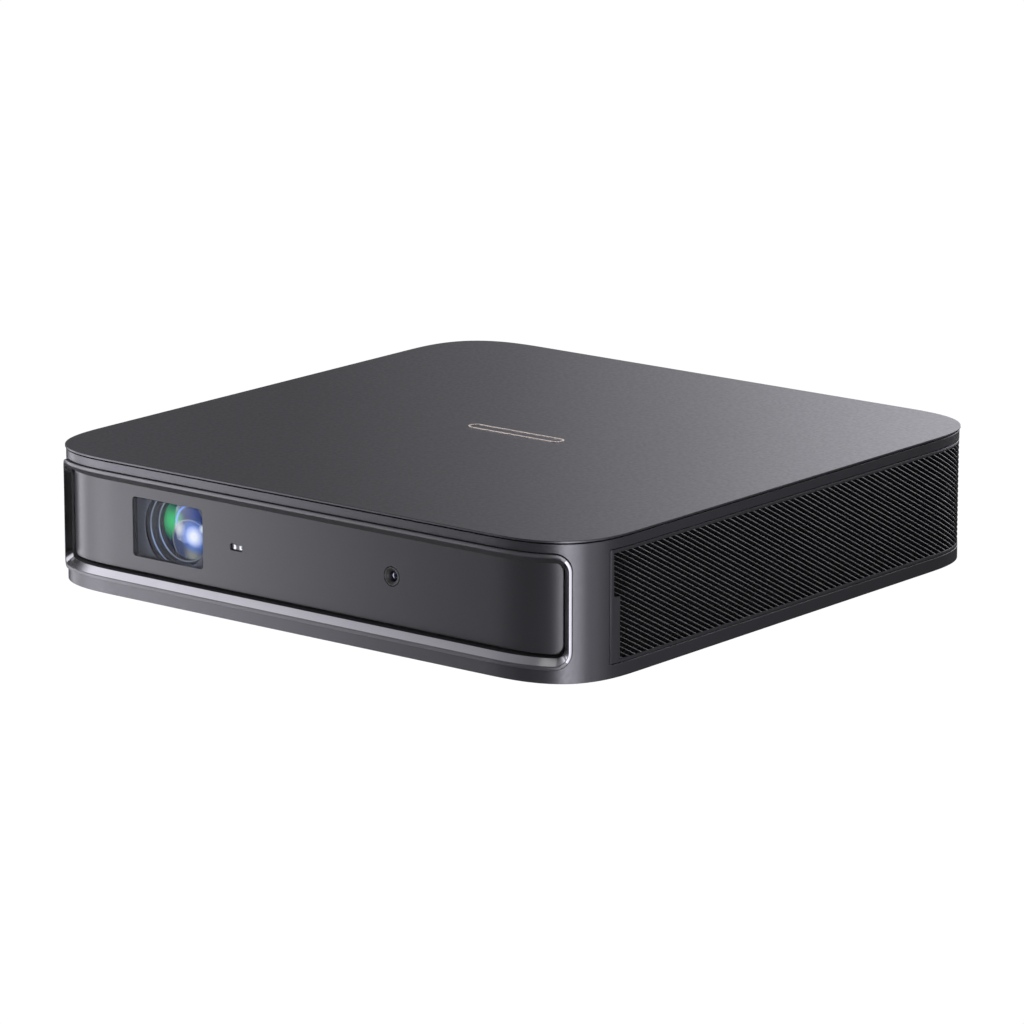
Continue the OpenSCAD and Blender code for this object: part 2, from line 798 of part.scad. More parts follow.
module front_panel() {
    low = open_low + trim_w + panel_low_gap;
    high = open_high - trim_w - fit_gap;
    half = open_w / 2 - trim_w - panel_side_gap;
    color(gloss_black)
        difference() {
            intersection() {
                wall(panel_in, panel_in + panel_t, low, high);
                along_y(front_y, front_y + front_cut)
                    round_rect(0, (low + high) / 2, 2 * half, high - low, panel_r);
            }
            along_y(front_y, panel_y + panel_t + 1) {
                round_rect(lens_x, axis_z, window_w + 2 * fit_gap, window_h + 2 * fit_gap, 1);
                round_rect(range_x, open_mid + range_lift, range_w, range_h, range_r);
            }
            rod_y(camera_x, open_mid + camera_lift, camera_r + fit_gap, front_y, panel_y + panel_t + 1);
        }
}

module lens_window() {
    color(glass_blue)
        along_y(panel_y, panel_y + panel_t)
        round_rect(lens_x, axis_z, window_w, window_h, 0.9);
}

module range_sensor() {
    z = open_mid + range_lift;
    color(gloss_black) {
        along_y(panel_y + 0.5, panel_y + panel_t)
            round_rect(range_x, z, range_w - 0.2, range_h - 0.2, 0.4);
        block(range_x - 2.6, range_x + 2.6, panel_y + panel_t, panel_y + panel_t + 1.4, z - 1.5, z + 1.5);
    }
}

module camera_bezel() {
    z = open_mid + camera_lift;
    color(black)
        difference() {
            union() {
                rod_y(camera_x, z, camera_r, panel_y, panel_y + panel_t + 1);
                block(camera_x - 3.6, camera_x + 3.6, panel_y + panel_t, panel_y + panel_t + 1.4, z - 3.6, z + 3.6);
            }
            rod_y(camera_x, z, camera_lens_r, panel_y - 1, panel_y + panel_t + 2);
        }
}

module camera_lens() {
    z = open_mid + camera_lift;
    color(glass_blue)
        translate([camera_x, panel_y + panel_t + 1.4, z])
        rotate([90, 0, 0])
        intersection() {
            cylinder(r = camera_lens_r, h = 2.6);
            translate([0, 0, 2.4 - 3]) sphere(r = 3);
        }
}

module sensor_board() {
    y = panel_y + panel_t + 1.4;
    color(board_green) {
        block(range_x - 5, camera_x + 7, y, y + 1, open_mid - 5, open_mid + 7);
        block(0, 8, y + 1, y + 2.6, open_mid - 3, open_mid - 0.5);
    }
}

// ---- Rear pieces ----

module power_button() {
    color(graphite) {
        rod_y(button_x, button_z, button_r, rear_inner - 0.6, rear_face - 0.1);
        rod_y(button_x, button_z, button_r + 0.9, rear_inner - 1, rear_inner - 0.05);
        rod_y(button_x, button_z, 1.5, rear_inner - 1.6, rear_inner - 1);
    }
}

module button_switch() {
    cap_y = rear_inner - 1.6 - button_travel - 0.2;
    color(black) {
        block(button_x - 5, button_x + 5, cap_y - 6.1, cap_y - 4.5, board_top, button_z + 5);
        block(button_x - 3, button_x + 3, cap_y - 4.5, cap_y - 0.7, button_z - 3, button_z + 3);
        rod_y(button_x, button_z, 1.7, cap_y - 0.7, cap_y);
    }
}

module status_light() {
    x = button_x + light_offset;
    color("white") {
        rod_y(x, button_z, light_r, rear_inner - 4, rear_face - 0.1);
        block(x - 1, x + 1, rear_inner - 6, rear_inner - 4, board_top, button_z + 1);
    }
}

// A rectangular socket with a tongue, open to the rear
module socket(x, w) {
    difference() {
        block(x - w / 2, x + w / 2, port_y0, port_y1, board_top, board_top + port_h);
        block(x - w / 2 + 0.5, x + w / 2 - 0.5, port_y0 + 1, port_y1 + 1, board_top + 0.5, board_top + port_h - 0.5);
    }
    block(x - w / 2 + 2, x + w / 2 - 2, port_y0 + 1, port_y1 - 1.2, port_z - 0.6, port_z + 0.6);
}

module video_port() {
    color(metal) socket(video_x, video_w);
}

module data_port() {
    color(metal) socket(data_x, data_w);
}

module audio_jack() {
    color(black)
        difference() {
            union() {
                block(audio_x - 3.5, audio_x + 3.5, port_y0, rear_inner - 0.4, board_top, board_top + port_h);
                rod_y(audio_x, port_z, audio_nose_r, rear_inner - 1, port_y1);
            }
            rod_y(audio_x, port_z, audio_bore_r, port_y0 + 1, port_y1 + 1);
        }
}

module dc_inlet() {
    z = board_top + power_lift;
    color(black) {
        difference() {
            union() {
                block(power_x - 5, power_x + 5, port_y0, rear_inner - 0.4, board_top, board_top + 10);
                rod_y(power_x, z, power_nose_r, rear_inner - 1, port_y1);
            }
            rod_y(power_x, z, power_bore_r, port_y0 + 2, port_y1 + 1);
        }
        rod_y(power_x, z, power_pin_r, port_y0 + 1, port_y1 - 1);
    }
}

// ---- Main board ----

module main_board() {
    color(board_green)
        difference() {
            union() {
                block(-board_w / 2, board_w / 2, board_y0, board_y1, board_z, board_top);
                block(lens_x - 6, lens_x + 6, board_y0 + 10, board_y0 + 14, board_z - 2.2, board_z);
            }
            for (x = [-board_w / 2 + board_hole_in, board_w / 2 - board_hole_in])
                for (y = [board_y0 + board_hole_in, board_y1 - board_hole_in])
                    rod_z(x, y, board_hole_r, board_z - 1, board_top + 1);
        }
}

module processor() {
    color(black)
        block(-chip_w / 2, chip_w / 2, board_y0 + 16, board_y0 + 16 + chip_w, board_top, board_top + chip_t);
}

module heat_spreader() {
    z = board_top + chip_t;
    y = board_y0 + 16 + chip_w / 2;
    color(metal) block(-spreader_w / 2, spreader_w / 2, y - 14, y + 14, z, z + spreader_t);
}

module wireless_module() {
    color(metal) {
        block(36, 50, board_y0 + 58, board_y0 + 70, board_top, board_top + 2);
        block(50, 53, board_y0 + 62, board_y0 + 64, board_top, board_top + 1);
    }
}

// ---- Cooling ----

module blower(side) {
    room = blower_w / 2 - blower_wall;
    x1 = blower_x + blower_w;
    snout = side > 0 ? sink_x0 - 0.2 : side_inner - 0.6;
    color(black)
        on_side(side)
        difference() {
            union() {
                block(blower_x, x1, blower_y, blower_y + blower_w, blower_z0, blower_z1);
                block(x1 - 1, snout, blower_y + 6, blower_y + blower_w, blower_z0, blower_z1);
            }
            difference() {
                rod_z(blower_cx, blower_cy, room, blower_z0 + blower_wall, blower_z1 - blower_wall);
                rod_z(blower_cx, blower_cy, 4, blower_z0, blower_z0 + 4);
            }
            block(blower_cx + 8, snout + 1, blower_y + 6 + blower_wall, blower_y + blower_w - blower_wall,
                blower_z0 + blower_wall, blower_z1 - blower_wall);
            rod_z(blower_cx, blower_cy, inlet_r, blower_z1 - 3, blower_z1 + 1);
            rod_z(blower_cx, blower_cy, 1.5 + run_gap, blower_z0 + 0.8, blower_z1);
        }
}

module blower_left() {
    blower(-1);
}

module blower_right() {
    blower(1);
}

module rotor(side) {
    low = blower_z0 + blower_wall + 3.4;
    high = blower_z1 - blower_wall - 0.6;
    hub_r = 9;
    color(graphite)
        on_side(side)
        translate([blower_cx, blower_cy, 0]) {
            rod_z(0, 0, 1.5, blower_z0 + 0.9, low + 0.5);
            rod_z(0, 0, hub_r, low, high);
            rod_z(0, 0, rotor_r - 1, low, low + 0.8);
            for (i = [0 : blade_count - 1])
                rotate([0, 0, i * 360 / blade_count])
                    translate([hub_r - 0.5, 0, low])
                    rotate([0, 0, 24])
                    cube([rotor_r - hub_r - 0.4, 0.6, high - low - 1]);
        }
}

module rotor_left() {
    rotor(-1);
}

module rotor_right() {
    rotor(1);
}

module laser_heatsink() {
    pitch = (sink_y1 - sink_y0 - fin_t) / (fin_count - 1);
    color(metal)
        difference() {
            block(sink_x0, sink_x1, sink_y0, sink_y1, sink_z0, sink_z1);
            for (i = [0 : fin_count - 2])
                block(sink_x0 - 1, sink_x1 + 1, sink_y0 + fin_t + i * pitch, sink_y0 + (i + 1) * pitch,
                    sink_z0 + 1, sink_z1 - 1);
            for (dz = [-pipe_pitch / 2, pipe_pitch / 2])
                rod_y(pipe_x, axis_z + dz, pipe_r, sink_y0 - 1, sink_y1 + 1);
        }
}

module heat_pipe(z) {
    bend_x = pipe_x - pipe_bend;
    bend_y = pipe_y + pipe_bend;
    rod_x(pipe_y, z, pipe_r, laser_x0 + 2, bend_x);
    translate([bend_x, bend_y, z])
        rotate([0, 0, -90])
        rotate_extrude(angle = 90)
        translate([pipe_bend, 0])
        circle(r = pipe_r);
    rod_y(pipe_x, z, pipe_r, bend_y, sink_y1 - 2);
}

module heat_pipes() {
    color(copper)
        for (dz = [-pipe_pitch / 2, pipe_pitch / 2])
            heat_pipe(axis_z + dz);
}

module cold_plate() {
    color(copper)
        difference() {
            block(laser_x0, laser_x1, laser_y1, cold_y1, axis_z - laser_h / 2, axis_z + laser_h / 2);
            for (dz = [-pipe_pitch / 2, pipe_pitch / 2])
                rod_x(pipe_y, axis_z + dz, pipe_r, laser_x0 + 2, laser_x1 + 1);
        }
}

module laser_module() {
    color(metal) {
        difference() {
            block(laser_x0, laser_x1, laser_y0, laser_y1, axis_z - laser_h / 2, axis_z + laser_h / 2);
            for (i = [0 : 4])
                block(laser_x0 + 5 + i * 5, laser_x0 + 7 + i * 5, laser_y0 - 1, laser_y0 + 2,
                    axis_z - laser_h / 2 + 3, axis_z + laser_h / 2 - 3);
        }
        difference() {
            rod_x(light_y, axis_z, 3, wheel_x1, laser_x0);
            rod_x(light_y, axis_z, 1.8, wheel_x1 - 1, laser_x0 + 1);
        }
    }
}

module wheel_housing() {
    half = wheel_room + wheel_wall;
    color(black)
        difference() {
            block(wheel_x0, wheel_x1, wheel_y - half, wheel_y + half, axis_z - half, axis_z + half);
            block(wheel_x0 + wheel_wall, wheel_x1 - wheel_wall, wheel_y - wheel_room, wheel_y + wheel_room,
                axis_z - wheel_room, axis_z + wheel_room);
            rod_x(light_y, axis_z, 1.8, wheel_x0 - 1, wheel_x1 + 1);
        }
}

module wheel_motor() {
    x1 = wheel_x1 - wheel_wall;
    color(metal)
        difference() {
            rod_x(wheel_y, axis_z, wheel_motor_r, x1 - 8, x1);
            rod_x(wheel_y, axis_z, wheel_shaft_r + run_gap, x1 - 9, x1 - 1);
        }
}

module phosphor_wheel() {
    x1 = wheel_x1 - wheel_wall;
    disc_x = x1 - 12;
    color(glass_blue)
        rod_x(wheel_y, axis_z, wheel_r, disc_x, disc_x + wheel_t);
    color(metal) {
        rod_x(wheel_y, axis_z, 5, disc_x + wheel_t, disc_x + 3.2);
        rod_x(wheel_y, axis_z, wheel_shaft_r, disc_x + 3, x1 - 1.5);
    }
}

module light_tunnel() {
    color(black)
        difference() {
            block(engine_x1, wheel_x0, light_y - 4.5, light_y + 4.5, axis_z - 4, axis_z + 4);
            block(engine_x1 - 1, wheel_x0 + 1, light_y - 3, light_y + 3, axis_z - 2.2, axis_z + 2.2);
        }
}

// ---- Light engine ----

module engine_housing() {
    t = engine_t;
    color(metal)
        difference() {
            block(engine_x0, engine_x1, engine_y0, engine_y1, engine_z0, engine_z1);
            block(engine_x0 + t, engine_x1 - t, engine_y0 + t, engine_y1 - t, engine_z0 + t, engine_z1 + 1);
            rod_y(lens_x, axis_z, cell_bore_r, engine_y0 - 1, engine_y0 + t + 1);
            block(engine_x1 - t - 1, engine_x1 + 1, light_y - 3, light_y + 3, axis_z - 2.2, axis_z + 2.2);
            block(lens_x - imager_w / 2 - fit_gap, lens_x + imager_w / 2 + fit_gap, engine_y1 - t - 1, engine_y1 + 1,
                axis_z - imager_h / 2 - fit_gap, axis_z + imager_h / 2 + fit_gap);
        }
}

module engine_lid() {
    color(metal) {
        block(engine_x0, engine_x1, engine_y0, engine_y1, engine_z1, engine_z1 + 1.5);
        for (x = [engine_x0 + 4, engine_x1 - 4], y = [engine_y0 + 4, engine_y1 - 4])
            rod_z(x, y, 2, engine_z1 + 1.5, engine_z1 + 2.3);
    }
}

module prism_pair() {
    h = prism_w / 2;
    gap = 0.1;
    color(glass_blue)
        translate([lens_x, light_y, axis_z - h])
        linear_extrude(prism_w) {
            polygon([[-h, -h], [h - gap, -h], [-h, h - gap]]);
            polygon([[h, h], [gap - h, h], [h, gap - h]]);
        }
    color(metal)
        block(lens_x - h, lens_x + h, light_y - h, light_y + h, engine_z0 + engine_t, axis_z - h);
}

module imaging_chip() {
    y0 = engine_y1 - engine_t - 2.5;
    color(graphite)
        block(lens_x - imager_w / 2, lens_x + imager_w / 2, y0, engine_y1,
            axis_z - imager_h / 2, axis_z + imager_h / 2);
}

module imager_board() {
    y1 = imager_board_y + board_t;
    color(board_green) {
        block(lens_x - 18, lens_x + 18, imager_board_y, y1, axis_z - 13, axis_z + 12);
        block(lens_x - 6, lens_x + 6, y1, y1 + 2, axis_z - 13, axis_z - 10.2);
    }
}

module imager_heatsink() {
    y0 = imager_board_y + board_t;
    y1 = y0 + imager_sink_d;
    z0 = axis_z - 9;
    z1 = axis_z + 11;
    color(metal)
        difference() {
            block(lens_x - 12.5, lens_x + 12.5, y0, y1, z0, z1);
            for (i = [0 : 6])
                block(lens_x - 11.2 + i * 3.4, lens_x - 9.2 + i * 3.4, y0 + 3, y1 + 1, z0 - 1, z1 + 1);
        }
}

// ---- Projection lens ----

module lens_barrel() {
    slot_half = focus_travel + 0.3;
    color(black)
        difference() {
            turned_on_lens()
                polygon([
                    [11, lens_y0], [barrel_r, lens_y0], [barrel_r, ring_y0 - 1.6], [barrel_r + 0.8, ring_y0 - 1.6],
                    [barrel_r + 0.8, ring_y0 - 0.2], [barrel_r, ring_y0 - 0.2], [barrel_r, gear_y1 + 0.2],
                    [barrel_r + 1.6, gear_y1 + 0.2], [barrel_r + 1.6, gear_y1 + 1.6], [barrel_r, gear_y1 + 1.6],
                    [barrel_r, barrel_y1 - 2.5], [14.2, barrel_y1 - 2.5], [14.2, engine_y0],
                    [cell_bore_r, engine_y0], [cell_bore_r, lens_seat], [9.9, lens_seat],
                    [9.9, lens_lip + 1], [9.4, lens_lip + 1], [9.4, lens_lip], [11, lens_lip]
                ]);
            for (dy = [-slot_half, slot_half])
                rod_z(lens_x, cell_y + dy, guide_r + run_gap, axis_z, axis_z + barrel_r + 1);
            block(lens_x - guide_r - run_gap, lens_x + guide_r + run_gap, cell_y - slot_half, cell_y + slot_half,
                axis_z, axis_z + barrel_r + 1);
        }
}

module front_lens() {
    dome_r = 24;
    color(glass_blue)
        translate([lens_x, lens_seat, axis_z])
        rotate([90, 0, 0]) {
            translate([0, 0, -4.6]) cylinder(r = cell_bore_r, h = 4.6);
            intersection() {
                cylinder(r = 9.85, h = 3);
                translate([0, 0, 2.1 - dome_r]) sphere(r = dome_r, $fn = 96);
            }
        }
}

module focus_ring() {
    cam_steps = 14;
    color(metal)
        difference() {
            union() {
                along_y(gear_y0, gear_y1)
                    translate([lens_x, axis_z]) rotate([0, 0, gear_angle]) gear_outline(ring_teeth);
                rod_y(lens_x, axis_z, barrel_r + 1.5, ring_y0, gear_y0);
            }
            rod_y(lens_x, axis_z, ring_in, ring_y0 - 1, gear_y1 + 1);
            for (i = [-cam_steps / 2 : cam_steps / 2]) {
                turn = i * 2 * (focus_turn + 3) / cam_steps;
                translate([lens_x, cell_y - turn * focus_travel / focus_turn, axis_z])
                    rotate([0, turn, 0])
                    rod_z(0, 0, guide_r + 0.2, 8, barrel_r + 3);
            }
        }
}

module lens_cell() {
    y0 = cell_y - cell_l / 2;
    color(black) {
        difference() {
            rod_y(lens_x, axis_z, cell_bore_r - run_gap, y0, y0 + cell_l);
            rod_y(lens_x, axis_z, cell_bore_r - cell_t, y0 - 1, y0 + cell_l + 1);
        }
        rod_z(lens_x, cell_y, guide_r, axis_z + cell_bore_r - 1, axis_z + barrel_r + 1.2);
    }
}

module rear_lens() {
    y0 = cell_y - cell_l / 2;
    dome_r = 18;
    color(glass_blue)
        for (place = [[y0 + 5, 1], [y0 + cell_l - 5, -1]])
            translate([lens_x, place[0], axis_z])
                rotate([90 * place[1], 0, 0])
                intersection() {
                    translate([0, 0, -2]) cylinder(r = cell_bore_r - cell_t, h = 5);
                    translate([0, 0, 2.4 - dome_r]) sphere(r = dome_r, $fn = 96);
                }
}

module focus_motor() {
    color(metal)
        difference() {
            union() {
                rod_y(pinion_x, pinion_z, focus_motor_r, gear_y1 + 1, gear_y1 + 10.5);
                block(pinion_x - 3, pinion_x + 3, gear_y1 + 2.5, gear_y1 + 7.5, pinion_z - focus_motor_r, pinion_z - 2);
            }
            rod_y(pinion_x, pinion_z, pinion_shaft_r + run_gap, gear_y1, gear_y1 + 8);
        }
}

module focus_pinion() {
    color(brass) {
        along_y(gear_y0, gear_y1)
            translate([pinion_x, pinion_z])
            rotate([0, 0, gear_angle + 180 + 180 / pinion_teeth])
            gear_outline(pinion_teeth);
        rod_y(pinion_x, pinion_z, pinion_shaft_r, gear_y1 - 1, gear_y1 + 7.5);
    }
}

// ---- Speakers ----

module speaker_box(side) {
    t = speaker_wall;
    color(black)
        on_side(side) {
            difference() {
                block(speaker_x0, speaker_x1, speaker_y0, speaker_y1, speaker_z0, speaker_z1);
                block(speaker_x0 + t, speaker_x1 - t, speaker_y0 + t, speaker_y1 - t, speaker_z0 + t, speaker_z1 - t);
                rod_x(speaker_cy, speaker_cz, cone_r + 0.3, speaker_x1 - t - 1, speaker_x1 + 1);
            }
            rod_x(speaker_cy, speaker_cz, 6, speaker_x0 + t, speaker_x0 + 6);
            rod_x(speaker_cy, speaker_cz, 3, speaker_x0 + 6, speaker_x0 + 9);
        }
}

module speaker_box_left() {
    speaker_box(-1);
}

module speaker_box_right() {
    speaker_box(1);
}

module speaker_cone(side) {
    x = speaker_x1 - 0.4;
    depth = 4;
    coil_r = 3.6;
    color(graphite)
        on_side(side)
        translate([x, speaker_cy, speaker_cz])
        rotate([0, 90, 0])
        rotate_extrude()
        polygon([
            [0, -depth + 0.6], [coil_r, -depth], [coil_r, -depth - 4], [coil_r + 0.4, -depth - 4],
            [coil_r + 0.4, -depth], [cone_r - 2.4, -1.2], [cone_r - 1.2, -0.5], [cone_r, -1.2],
            [cone_r, -0.8], [cone_r - 1.2, 0], [cone_r - 2.4, -0.7], [coil_r, -depth + 0.8], [0, -depth + 1.6]
        ]);
}

module speaker_cone_left() {
    speaker_cone(-1);
}

module speaker_cone_right() {
    speaker_cone(1);
}

// ---- Fasteners and leads ----

module case_screws() {
    z = shell_z + base_recess;
    color(metal)
        at_four(pillar_x, pillar_y)
            difference() {
                union() {
                    rod_z(0, 0, screw_head_r, z + screw_head_gap, z + 1);
                    rod_z(0, 0, screw_r, z + 1, z + 0.7 + screw_l);
                }
                translate([0, 0, z]) cylinder(r = 1, h = 0.7, $fn = 6);
            }
}

// A flat cable from the imaging board's socket to the one under the main board, stepped between their heights
module flex_ribbon() {
    half = 4;
    t = 0.3;
    z0 = axis_z - 12.2;
    z1 = board_z - 1.6;
    y0 = imager_board_y + board_t + 2;
    y1 = board_y0 + 10;
    y_step = (y0 + y1) / 2;
    color("orange") {
        block(lens_x - half, lens_x + half, y0, y_step, z0, z0 + t);
        block(lens_x - half, lens_x + half, y_step - t, y_step, min(z0, z1), max(z0, z1) + t);
        block(lens_x - half, lens_x + half, y_step - t, y1, z1, z1 + t);
    }
}

lead_r = 0.5;

module speaker_leads() {
    start_y = speaker_y1 + lead_r;
    end_y = board_y0 - 2;
    color("red")
        for (side = [-1, 1])
            on_side(side)
            wire([
                [speaker_x0 + 6, speaker_y1, speaker_z0 + 6],
                [speaker_x0 + 6, speaker_y1 + 1.5, speaker_z0 + 6],
                [speaker_x0 + 6, start_y + 4, speaker_z0 + 3],
                [blower_x + 26, end_y, board_z + 0.8],
                [blower_x + 26, board_y0, board_z + 0.8]
            ], lead_r);
}

module fan_leads() {
    y0 = blower_y + blower_w;
    color("gold")
        for (side = [-1, 1])
            on_side(side)
            wire([
                [blower_x + 8, y0, blower_z0 + 3],
                [blower_x + 8, y0 + 4, blower_z0 + 3],
                [blower_x + 8, y0 + 6, board_top + 2],
                [blower_x + 8, y0 + 6, board_top]
            ], lead_r);
}

top_cover();
top_badge();
side_frame();
base_cover();
rubber_feet();
tripod_insert();
vent_grille_left();
vent_grille_right();
rear_panel();
front_trim();
front_panel();
lens_window();
range_sensor();
camera_bezel();
camera_lens();
sensor_board();
power_button();
button_switch();
status_light();
video_port();
data_port();
audio_jack();
dc_inlet();
main_board();
processor();
heat_spreader();
wireless_module();
blower_left();
blower_right();
rotor_left();
rotor_right();
laser_heatsink();
heat_pipes();
cold_plate();
laser_module();
wheel_housing();
wheel_motor();
phosphor_wheel();
light_tunnel();
engine_housing();
engine_lid();
prism_pair();
imaging_chip();
imager_board();
imager_heatsink();
lens_barrel();
front_lens();
focus_ring();
lens_cell();
rear_lens();
focus_motor();
focus_pinion();
speaker_box_left();
speaker_box_right();
speaker_cone_left();
speaker_cone_right();
case_screws();
flex_ribbon();
speaker_leads();
fan_leads();
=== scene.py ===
import json
import math

import bmesh
import bpy
import numpy as np
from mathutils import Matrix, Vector
from mathutils.geometry import tessellate_polygon


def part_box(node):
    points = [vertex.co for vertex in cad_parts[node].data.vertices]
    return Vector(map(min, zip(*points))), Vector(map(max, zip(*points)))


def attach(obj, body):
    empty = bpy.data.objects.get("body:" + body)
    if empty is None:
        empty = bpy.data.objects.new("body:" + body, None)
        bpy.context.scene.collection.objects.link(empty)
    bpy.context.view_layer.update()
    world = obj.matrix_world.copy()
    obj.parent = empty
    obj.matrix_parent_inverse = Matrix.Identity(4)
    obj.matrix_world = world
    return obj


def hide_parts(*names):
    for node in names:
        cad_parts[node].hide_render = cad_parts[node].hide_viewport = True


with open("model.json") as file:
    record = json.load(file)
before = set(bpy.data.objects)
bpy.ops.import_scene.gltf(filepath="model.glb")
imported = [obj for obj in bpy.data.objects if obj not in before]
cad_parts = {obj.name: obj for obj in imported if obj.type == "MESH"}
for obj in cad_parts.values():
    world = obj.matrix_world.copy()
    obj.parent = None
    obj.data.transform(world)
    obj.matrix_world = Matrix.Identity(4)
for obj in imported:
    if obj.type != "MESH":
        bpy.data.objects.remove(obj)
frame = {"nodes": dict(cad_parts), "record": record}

MM = 0.001
nodes = frame["nodes"]
scene = bpy.context.scene
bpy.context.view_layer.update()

# ---- Camera, at the photograph's viewing angle ----

CAMERA_AT = Vector((0.98122, -1.22032, 0.40561))
CAMERA_TARGET = Vector((-0.042202, 0.050565, 0.0082))
CAMERA_LENS_MM = 197.08
CAMERA_SENSOR_MM = 36


def add_camera():
    data = bpy.data.cameras.new("camera")
    data.lens = CAMERA_LENS_MM
    data.sensor_width = CAMERA_SENSOR_MM
    camera = bpy.data.objects.new("camera", data)
    camera.location = CAMERA_AT
    look = CAMERA_TARGET - CAMERA_AT
    camera.rotation_euler = look.to_track_quat("-Z", "Y").to_euler()
    scene.collection.objects.link(camera)
    scene.camera = camera


add_camera()

# ---- Places taken from the CAD ----

top_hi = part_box("top_cover")[1]
frame_lo, frame_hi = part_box("side_frame")
grille_lo, grille_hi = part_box("vent_grille_right")
trim_lo, trim_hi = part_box("front_trim")
panel_lo, panel_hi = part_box("front_panel")
window_lo, window_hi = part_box("lens_window")
range_lo, range_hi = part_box("range_sensor")
camera_lo, camera_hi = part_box("camera_bezel")
rear_lo, rear_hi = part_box("rear_panel")
barrel_lo, barrel_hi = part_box("lens_barrel")

HALF_W, HALF_D = top_hi.x, top_hi.y
TOP_Z = top_hi.z
CORNER_R = 30.7 * MM
CORNER_POWER = 3                            # a corner is |x|^3 + |y|^3 = r^3
FACE = HALF_W - frame_hi.x                  # inset of the side frame's face
FIT = 0.1 * MM                              # play round a piece in its opening
OPEN_LOW, OPEN_HIGH = trim_lo.z - FIT, trim_hi.z + FIT
OPEN_HALF_X = panel_hi.x + 2.4 * MM
OPEN_R = 5 * MM
END_GAP = 2.2 * MM                          # from the opening's end to the panel's, on the strip
SIDE_SHARE = 0.35                           # the trim's width at its ends, against the bottom's
SEAM = 0.15 * MM                            # gap round a vent and the rear panel
VENT_LOW, VENT_HIGH = grille_lo.z - SEAM, grille_hi.z + SEAM
VENT_FRONT = grille_lo.y - SEAM
VENT_REAR_X = grille_lo.x - SEAM
REAR_HALF = rear_hi.x + SEAM
LENS_X = (window_lo.x + window_hi.x) / 2
LENS_Z = (barrel_lo.z + barrel_hi.z) / 2
PANEL_IN = panel_lo.y + HALF_D              # inset of the front panel's face


# ---- The body's rounded outline, as a strip that pieces are wrapped on ----

def outline_table(steps=160):
    """Length run, centre, direction, normal and face along half of the outline.

    It goes from the front's middle to the rear's middle."""
    cx, cy = HALF_W - CORNER_R, HALF_D - CORNER_R
    rows = [((0, -cy), (0, -1))]
    for centre, turn in (((cx, -cy), -90), ((cx, cy), 0)):
        for i in range(steps + 1):
            a = math.radians(turn + 90 * i / steps)
            c, s = math.cos(a), math.sin(a)
            full = (abs(c) ** CORNER_POWER + abs(s) ** CORNER_POWER) ** (1 / CORNER_POWER)
            rows.append((centre, (c / full, s / full)))
    rows.append(((0, cy), (0, 1)))
    centre = np.array([r[0] for r in rows])
    way = np.array([r[1] for r in rows])
    face = centre + (CORNER_R - FACE) * way
    run = np.r_[0, np.cumsum(np.linalg.norm(np.diff(face, axis=0), axis=1))]
    normal = np.sign(way) * way ** (CORNER_POWER - 1)
    normal /= np.linalg.norm(normal, axis=1)[:, None]
    return run, centre, way, normal, face


RUN, CENTRE, WAY, NORMAL, FACE_LINE = outline_table()
LOOP = 2 * RUN[-1]


def on_outline(u):
    """Centre, direction and normal at places along the strip.

    Zero is the front's middle, and the right side comes first."""
    u = (np.asarray(u, float) + LOOP / 2) % LOOP - LOOP / 2
    side = np.where(u < 0, -1.0, 1.0)
    found = []
    for rows in (CENTRE, WAY, NORMAL):
        x = np.interp(np.abs(u), RUN, rows[:, 0]) * side
        y = np.interp(np.abs(u), RUN, rows[:, 1])
        found.append(np.stack([x, y], -1))
    return found


def wrapped(u, z, inset):
    """Points in the row frame of places on the strip, drawn in by an inset."""
    centre, way, _ = on_outline(u)
    xy = centre + (CORNER_R - np.asarray(inset, float))[..., None] * way
    height = np.broadcast_to(np.asarray(z, float), xy.shape[:-1])
    return np.concatenate([xy, height[..., None]], -1)


def u_at_x(x):
    """Place on the strip where the front half's face has that x."""
    half = RUN < LOOP / 4
    return float(np.interp(x, FACE_LINE[half, 0], RUN[half]))


def u_at_y(y):
    """Place on the strip where the right side's face has that y."""
    side = (RUN > RUN[1]) & (RUN < RUN[-2])
    return float(np.interp(y, FACE_LINE[side, 1], RUN[side]))


STATION_STEP = 6                            # rows of the outline between two cuts of a bent plate
CORNER_PLACES = [RUN[i] for i in range(1, len(RUN) - 1, STATION_STEP)]
STATIONS = sorted([u + turn * LOOP for u in CORNER_PLACES for turn in (-1, 0)]
                  + [-u + turn * LOOP for u in CORNER_PLACES for turn in (0, 1)])
FRONT_U = u_at_x(OPEN_HALF_X)


# ---- Mesh helpers ----

def new_object(name, verts, faces, loops=None, smooth_angle=35):
    """A mesh object. loops gives a normal for each corner of each face.

    Without it, edges sharper than the angle stay sharp."""
    mesh = bpy.data.meshes.new(name)
    mesh.from_pydata([tuple(v) for v in verts], [], [tuple(f) for f in faces])
    mesh.shade_smooth()
    if loops is not None:
        mesh.normals_split_custom_set([tuple(n) for n in loops])
    else:
        mesh.set_sharp_from_angle(angle=math.radians(smooth_angle))
    obj = bpy.data.objects.new(name, mesh)
    scene.collection.objects.link(obj)
    return obj


def joined(name, parts, smooth_angle=35):
    """One object from several (verts, faces) pairs."""
    verts, faces = [], []
    for v, f in parts:
        start = len(verts)
        verts.extend(v)
        faces.extend([tuple(start + i for i in face) for face in f])
    return new_object(name, verts, faces, smooth_angle=smooth_angle)


def grid_faces(rows, n, closed_rows=False, closed_points=False):
    """Quads between neighbouring rows of n points each."""
    return [
        (a * n + i, a * n + (i + 1) % n, (a + 1) % rows * n + (i + 1) % n, (a + 1) % rows * n + i)
        for a in range(rows if closed_rows else rows - 1)
        for i in range(n if closed_points else n - 1)
    ]


SMALLEST_R = 0.02 * MM


